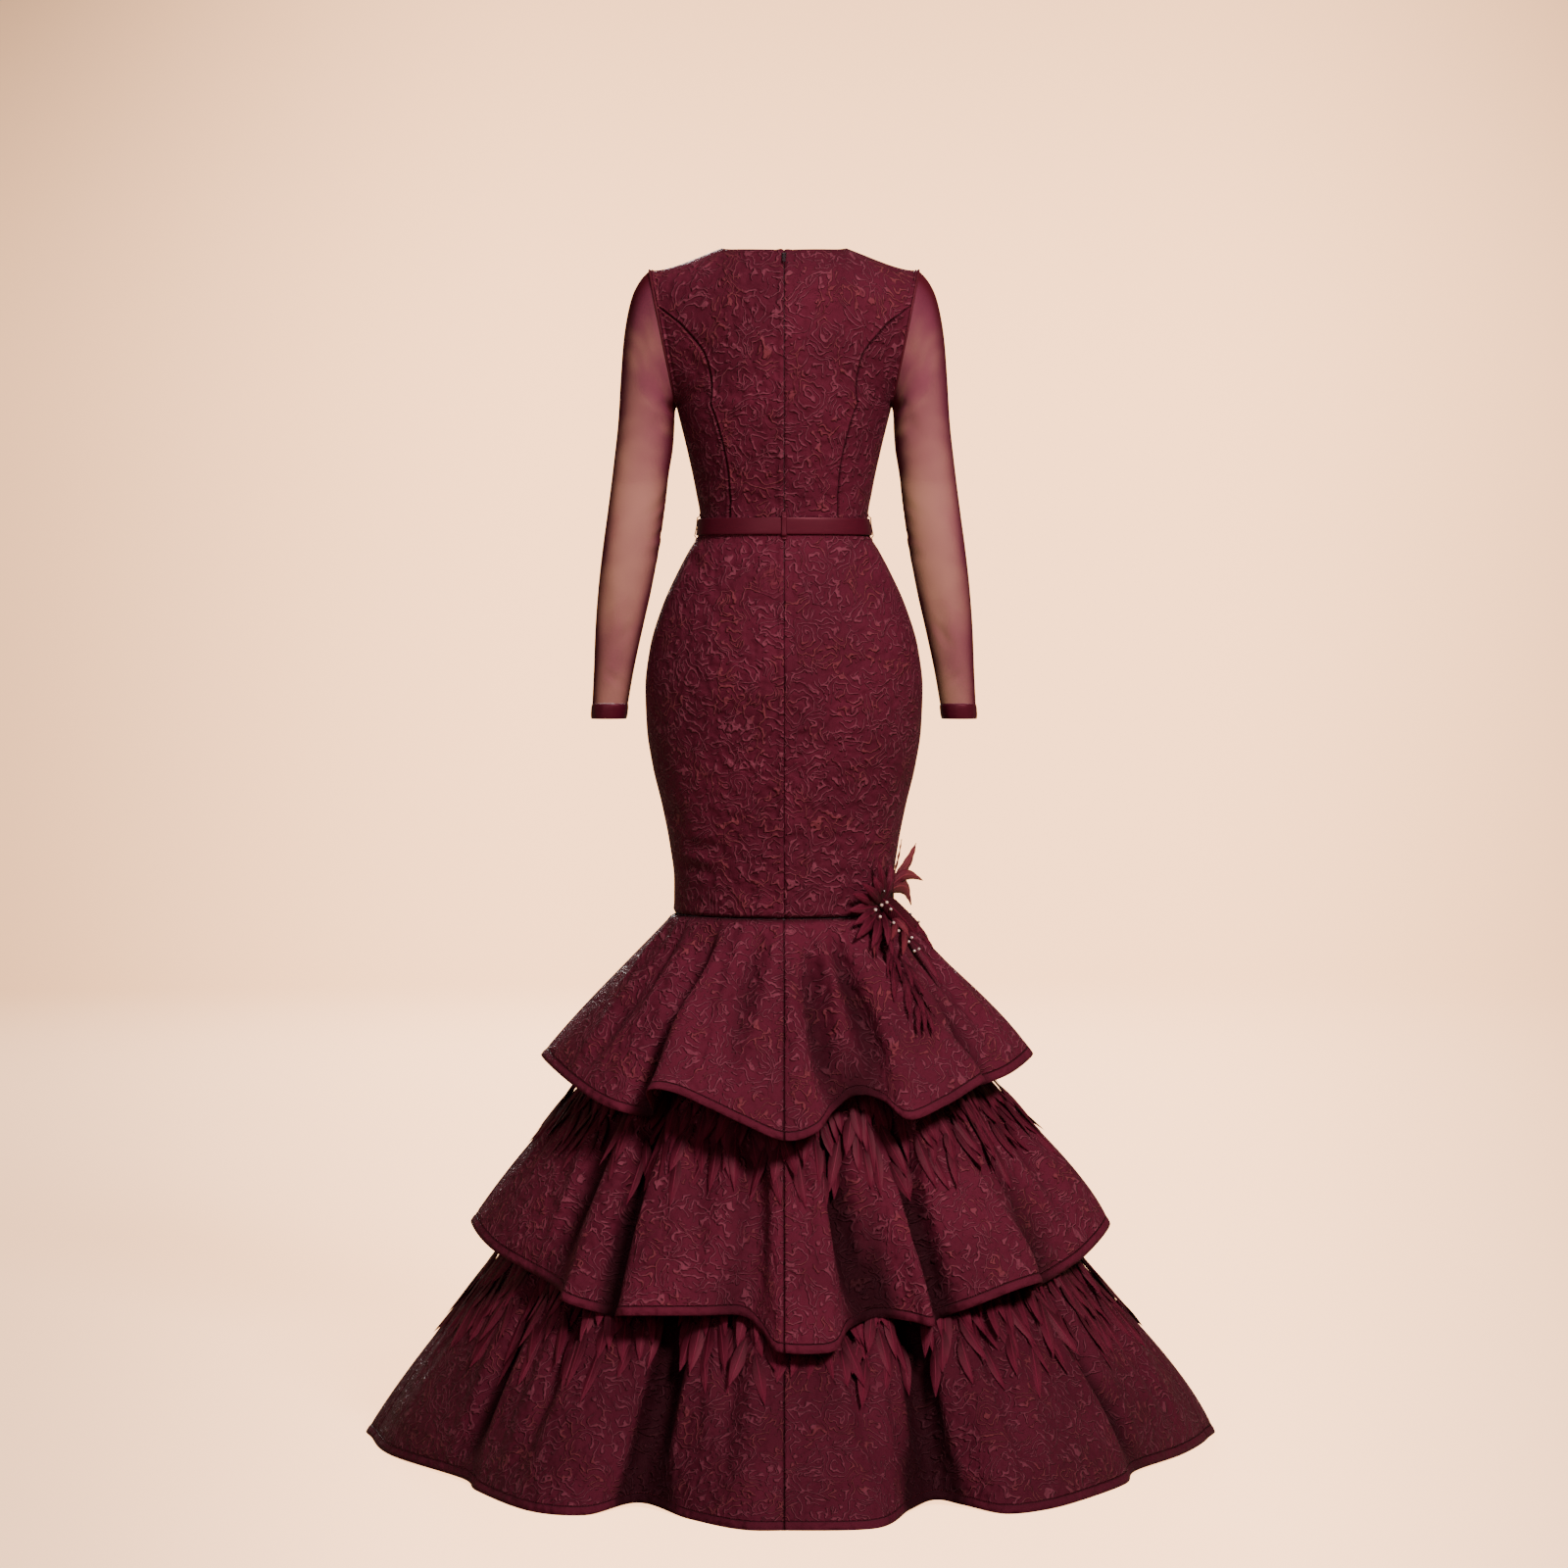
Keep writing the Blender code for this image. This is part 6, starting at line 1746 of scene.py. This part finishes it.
# The paper glows with painted light that only camera rays see, a painted pool of light: it glows less high
# up, towards one side, and at both edges of the camera's view. The brightest place lies beside the middle by
# POOL_SHIFT of its distance from the camera.
PAPER_GLOW = 4.2
LEAST_GLOW = 0.04
HIGH_SHADE = 0.44
ASIDE_SHADE = 0.08
RIM_SHADE = 0.55
POOL_SHIFT = 0.022
CAMERA_PLACE = (0.0, 4.946, 1.0188 - SHOULDER_HEIGHT)
CAMERA_TILT = 2.3087
CAMERA_LENS = 91.49
Lamp = namedtuple("Lamp", "name x y z aim_z size power colour")
LAMPS = (
    Lamp("key_softbox", -2.6, 4.4, 3.0, -0.55, 1.5, 1080, (1.0, 0.95, 0.91)),
    Lamp("fill_softbox", 1.9, 5.0, 0.5, -0.7, 2.0, 110, (1.0, 0.95, 0.91)),
    Lamp("top_softbox", 0.6, 1.8, 3.8, -0.6, 1.8, 110, (1.0, 0.96, 0.93)),
    Lamp("front_softbox", 0.6, -5.4, 1.2, -0.6, 1.2, 280, (1.0, 0.96, 0.93)),
)


def stage_floor(colours):
    """A pale floor that curves up into a wall all round."""
    steps = np.linspace(0, 1, 13)
    bend = WALL_RADIUS - FLOOR_RADIUS
    radii = [0.0, 1.5, 3.0, 4.5, *(FLOOR_RADIUS + bend * np.sin(steps * math.pi / 2)), WALL_RADIUS]
    heights = [FLOOR] * 4 + [*(FLOOR + bend * (1 - np.cos(steps * math.pi / 2))), FLOOR + WALL_TOP]
    turns = np.linspace(0, math.tau, 97)
    x, y = np.outer(radii, np.cos(turns)), np.outer(radii, np.sin(turns))
    points = np.stack([x, y, np.outer(heights, np.ones(97))], axis=-1)
    made = grid_object("studio_sweep", points, points[..., :2], 1, closed=True)
    material, nodes, shader = new_material("studio_paper", Roughness=0.9, Specular_IOR_Level=0.1)
    shader.inputs["Emission Color"].default_value = (*colours.backdrop, 1.0)
    x, y, z = nodes.parts(nodes.place())
    colour = mixed(nodes, nodes.ramp(z, -1.0, 1.6), colours.floor, toned(colours.floor, 0.94))
    high = nodes.times(nodes.ramp(z, 0.2, 2.9), HIGH_SHADE)
    aside = nodes.times(nodes.ramp(nodes.minus(x, nodes.times(z, -0.5)), 0.4, 4.2), ASIDE_SHADE)
    depth = nodes.math("MAXIMUM", nodes.minus(CAMERA_PLACE[1], y), 0.5)
    off_axis = nodes.math("ABSOLUTE", nodes.plus(nodes.math("DIVIDE", x, depth), POOL_SHIFT))
    rim = nodes.times(
        nodes.ramp(off_axis, 0.07, 0.25, 0.0, RIM_SHADE), nodes.ramp(off_axis, 0.26, 0.6, 1.0, 0.0)
    )
    shade = nodes.plus(nodes.plus(high, aside), rim)
    glow = nodes.times(nodes.math("MAXIMUM", nodes.minus(1.0, shade), LEAST_GLOW), PAPER_GLOW)
    # Painted light: the glow is seen only by camera rays and lights nothing.
    seen = nodes.add("ShaderNodeLightPath").outputs["Is Camera Ray"]
    nodes.feed(shader, Base_Color=colour, Emission_Strength=nodes.times(seen, glow))
    made.data.materials.append(material)


def set_lights():
    for lamp in LAMPS:
        light = bpy.data.lights.new(lamp.name, "AREA")
        light.shape = "DISK"
        light.size = lamp.size
        light.energy = lamp.power
        light.color = lamp.colour
        made = linked(lamp.name, light)
        made.location = (lamp.x, lamp.y, lamp.z)
        aim = Vector((0, 0, lamp.aim_z)) - made.location
        made.rotation_euler = aim.to_track_quat("-Z", "Y").to_euler()
    world = bpy.data.worlds.new("studio_air")
    bpy.context.scene.world = world
    world.use_nodes = True
    air = world.node_tree.nodes["Background"].inputs
    air["Color"].default_value = (1.0, 0.95, 0.91, 1.0)
    air["Strength"].default_value = 0.04


def set_camera():
    camera = bpy.data.cameras.new("photo_camera")
    camera.lens = CAMERA_LENS
    camera.sensor_width = 36.0
    camera.clip_end = 60.0
    made = linked("photo_camera", camera)
    made.location = CAMERA_PLACE
    made.rotation_euler = (math.radians(90 - CAMERA_TILT), 0.0, math.pi)
    bpy.context.scene.camera = made


# --------------------------------------------------------------------------------------- the add-on


def colour_choice(name, description, value):
    return bpy.props.FloatVectorProperty(
        name=name, description=description, default=value, subtype="COLOR", size=3, min=0.0, max=1.0
    )


class GownSizes(bpy.types.PropertyGroup):
    """Sizes that a user would change."""

    cloth: bpy.props.FloatProperty(
        name="Cloth", description="Thickness of the jacquard", default=0.0015, min=0.0008, max=0.003,
        unit="LENGTH", precision=4,
    )
    fold_depth: bpy.props.FloatProperty(
        name="Fold depth", description="Depth of the flounces' soft folds, as a share of their own",
        default=1.0, min=0.0, max=2.0, subtype="FACTOR",
    )
    stitch_pitch: bpy.props.FloatProperty(
        name="Stitch pitch", description="Distance from stitch to stitch along a hem", default=0.0033,
        min=0.002, max=0.01, unit="LENGTH", precision=4,
    )
    feather_length: bpy.props.FloatProperty(
        name="Feather length", description="Length of the feathers, as a share of their own", default=1.0,
        min=0.5, max=1.5, subtype="FACTOR",
    )


class GownColours(bpy.types.PropertyGroup):
    """Colours of the gown's finishes and of the stage."""

    jacquard: colour_choice("Jacquard", "Ground of the embossed cloth", (0.043, 0.0044, 0.0106))
    thread: colour_choice("Raised thread", "Lines that stand up on the jacquard", (0.118, 0.026, 0.041))
    copper: colour_choice("Coppery thread", "Warmer raised lines here and there", (0.112, 0.023, 0.027))
    edge: colour_choice("Edges", "Piping, bindings and stitches", (0.034, 0.0034, 0.0066))
    sheer: colour_choice("Sheer net", "Net of the sleeves", (0.12, 0.025, 0.048))
    satin: colour_choice("Satin", "Belt and cuffs", (0.03, 0.0018, 0.0058))
    lining: colour_choice("Lining", "Underskirt and linings", (0.007, 0.0004, 0.0016))
    feather: colour_choice("Feather", "Feathers at their roots", (0.006, 0.0003, 0.0012))
    feather_tip: colour_choice("Feather tips", "Feathers at their tips", (0.042, 0.0026, 0.0086))
    leaf: colour_choice("Leaf", "Corsage leaves at their roots", (0.022, 0.0018, 0.005))
    leaf_tip: colour_choice("Leaf tips", "Corsage leaves at their tips", (0.075, 0.01, 0.015))
    zip_metal: colour_choice("Zip", "Enamel of the zip", (0.008, 0.0015, 0.003))
    pearl: colour_choice("Pearls", "Pale pearls of the corsage", (0.36, 0.22, 0.2))
    bead: colour_choice("Beads", "Dark beads of the corsage", (0.012, 0.0015, 0.003))
    sheen: colour_choice("Sheen", "Tint of the cloth's sheen", (0.6, 0.2, 0.26))
    floor: colour_choice("Floor", "Studio floor", (0.3, 0.232, 0.172))
    backdrop: colour_choice("Backdrop", "Glow of the studio paper", (1.0, 0.5, 0.24))


class GOWN_OT_bodice(bpy.types.Operator):
    """Sew the seven panels of the bodice"""

    bl_idname = "gown.bodice"
    bl_label = "Bodice"

    def execute(self, context):
        sew_bodice(context.scene.gown_sizes)
        return {"FINISHED"}


class GOWN_OT_skirt(bpy.types.Operator):
    """Sew the fitted skirt from the waist to the knee seam"""

    bl_idname = "gown.skirt"
    bl_label = "Skirt"

    def execute(self, context):
        sew_skirt(context.scene.gown_sizes)
        return {"FINISHED"}


class GOWN_OT_flounces(bpy.types.Operator):
    """Sew the three flounces with their folds and hem bands"""

    bl_idname = "gown.flounces"
    bl_label = "Flounces"

    def execute(self, context):
        sew_flounces(context.scene.gown_sizes)
        return {"FINISHED"}


class GOWN_OT_underskirt(bpy.types.Operator):
    """Sew the lining that carries the lower flounces"""

    bl_idname = "gown.underskirt"
    bl_label = "Underskirt"

    def execute(self, context):
        sew_underskirt()
        return {"FINISHED"}


class GOWN_OT_sleeves(bpy.types.Operator):
    """Sew the sheer sleeves and their satin cuffs"""

    bl_idname = "gown.sleeves"
    bl_label = "Sleeves and cuffs"

    def execute(self, context):
        sew_sleeves()
        sew_cuffs()
        return {"FINISHED"}


class GOWN_OT_belt(bpy.types.Operator):
    """Lay the satin belt and its carriers round the waist"""

    bl_idname = "gown.belt"
    bl_label = "Belt"

    def execute(self, context):
        sew_belt()
        return {"FINISHED"}


class GOWN_OT_sewing(bpy.types.Operator):
    """Pipe the armholes, stitch the hems and set the zip's teeth"""

    bl_idname = "gown.sewing"
    bl_label = "Piping, stitches and zip"

    def execute(self, context):
        sew_seams(context.scene.gown_sizes)
        finish_zip()
        return {"FINISHED"}


class GOWN_OT_feathers(bpy.types.Operator):
    """Sew rows of feathers onto the second and third flounces"""

    bl_idname = "gown.feathers"
    bl_label = "Feathers"

    def execute(self, context):
        sew_feathers(context.scene.gown_sizes)
        return {"FINISHED"}


class GOWN_OT_corsage(bpy.types.Operator):
    """Make the corsage of leaves and pearls and its trail"""

    bl_idname = "gown.corsage"
    bl_label = "Corsage"

    def execute(self, context):
        sew_corsage()
        return {"FINISHED"}


class GOWN_OT_stage(bpy.types.Operator):
    """Set the studio floor, lights and camera"""

    bl_idname = "gown.stage"
    bl_label = "Stage"

    def execute(self, context):
        stage_floor(context.scene.gown_colours)
        set_lights()
        set_camera()
        return {"FINISHED"}


STEPS = (
    GOWN_OT_stage, GOWN_OT_bodice, GOWN_OT_skirt, GOWN_OT_flounces, GOWN_OT_underskirt, GOWN_OT_sleeves,
    GOWN_OT_belt, GOWN_OT_sewing, GOWN_OT_feathers, GOWN_OT_corsage,
)


class GOWN_PT_panel(bpy.types.Panel):
    """Lists the gown's steps, sizes and colours"""

    bl_idname = "GOWN_PT_panel"
    bl_label = "Mermaid Gown"
    bl_space_type = "VIEW_3D"
    bl_region_type = "UI"
    bl_category = "Gown"

    def draw(self, context):
        layout = self.layout
        for group in (context.scene.gown_sizes, context.scene.gown_colours):
            box = layout.box()
            for name in group.__annotations__:
                box.prop(group, name)
        for step in STEPS:
            layout.operator(step.bl_idname)


CLASSES = (GownSizes, GownColours, *STEPS, GOWN_PT_panel)


def register():
    for each in CLASSES:
        bpy.utils.register_class(each)
    bpy.types.Scene.gown_sizes = bpy.props.PointerProperty(type=GownSizes)
    bpy.types.Scene.gown_colours = bpy.props.PointerProperty(type=GownColours)


def unregister():
    del bpy.types.Scene.gown_colours
    del bpy.types.Scene.gown_sizes
    for each in reversed(CLASSES):
        bpy.utils.unregister_class(each)


def main():
    register()
    for step in STEPS:
        area, name = step.bl_idname.split(".")
        getattr(getattr(bpy.ops, area), name)()


if __name__ == "__main__":
    main()
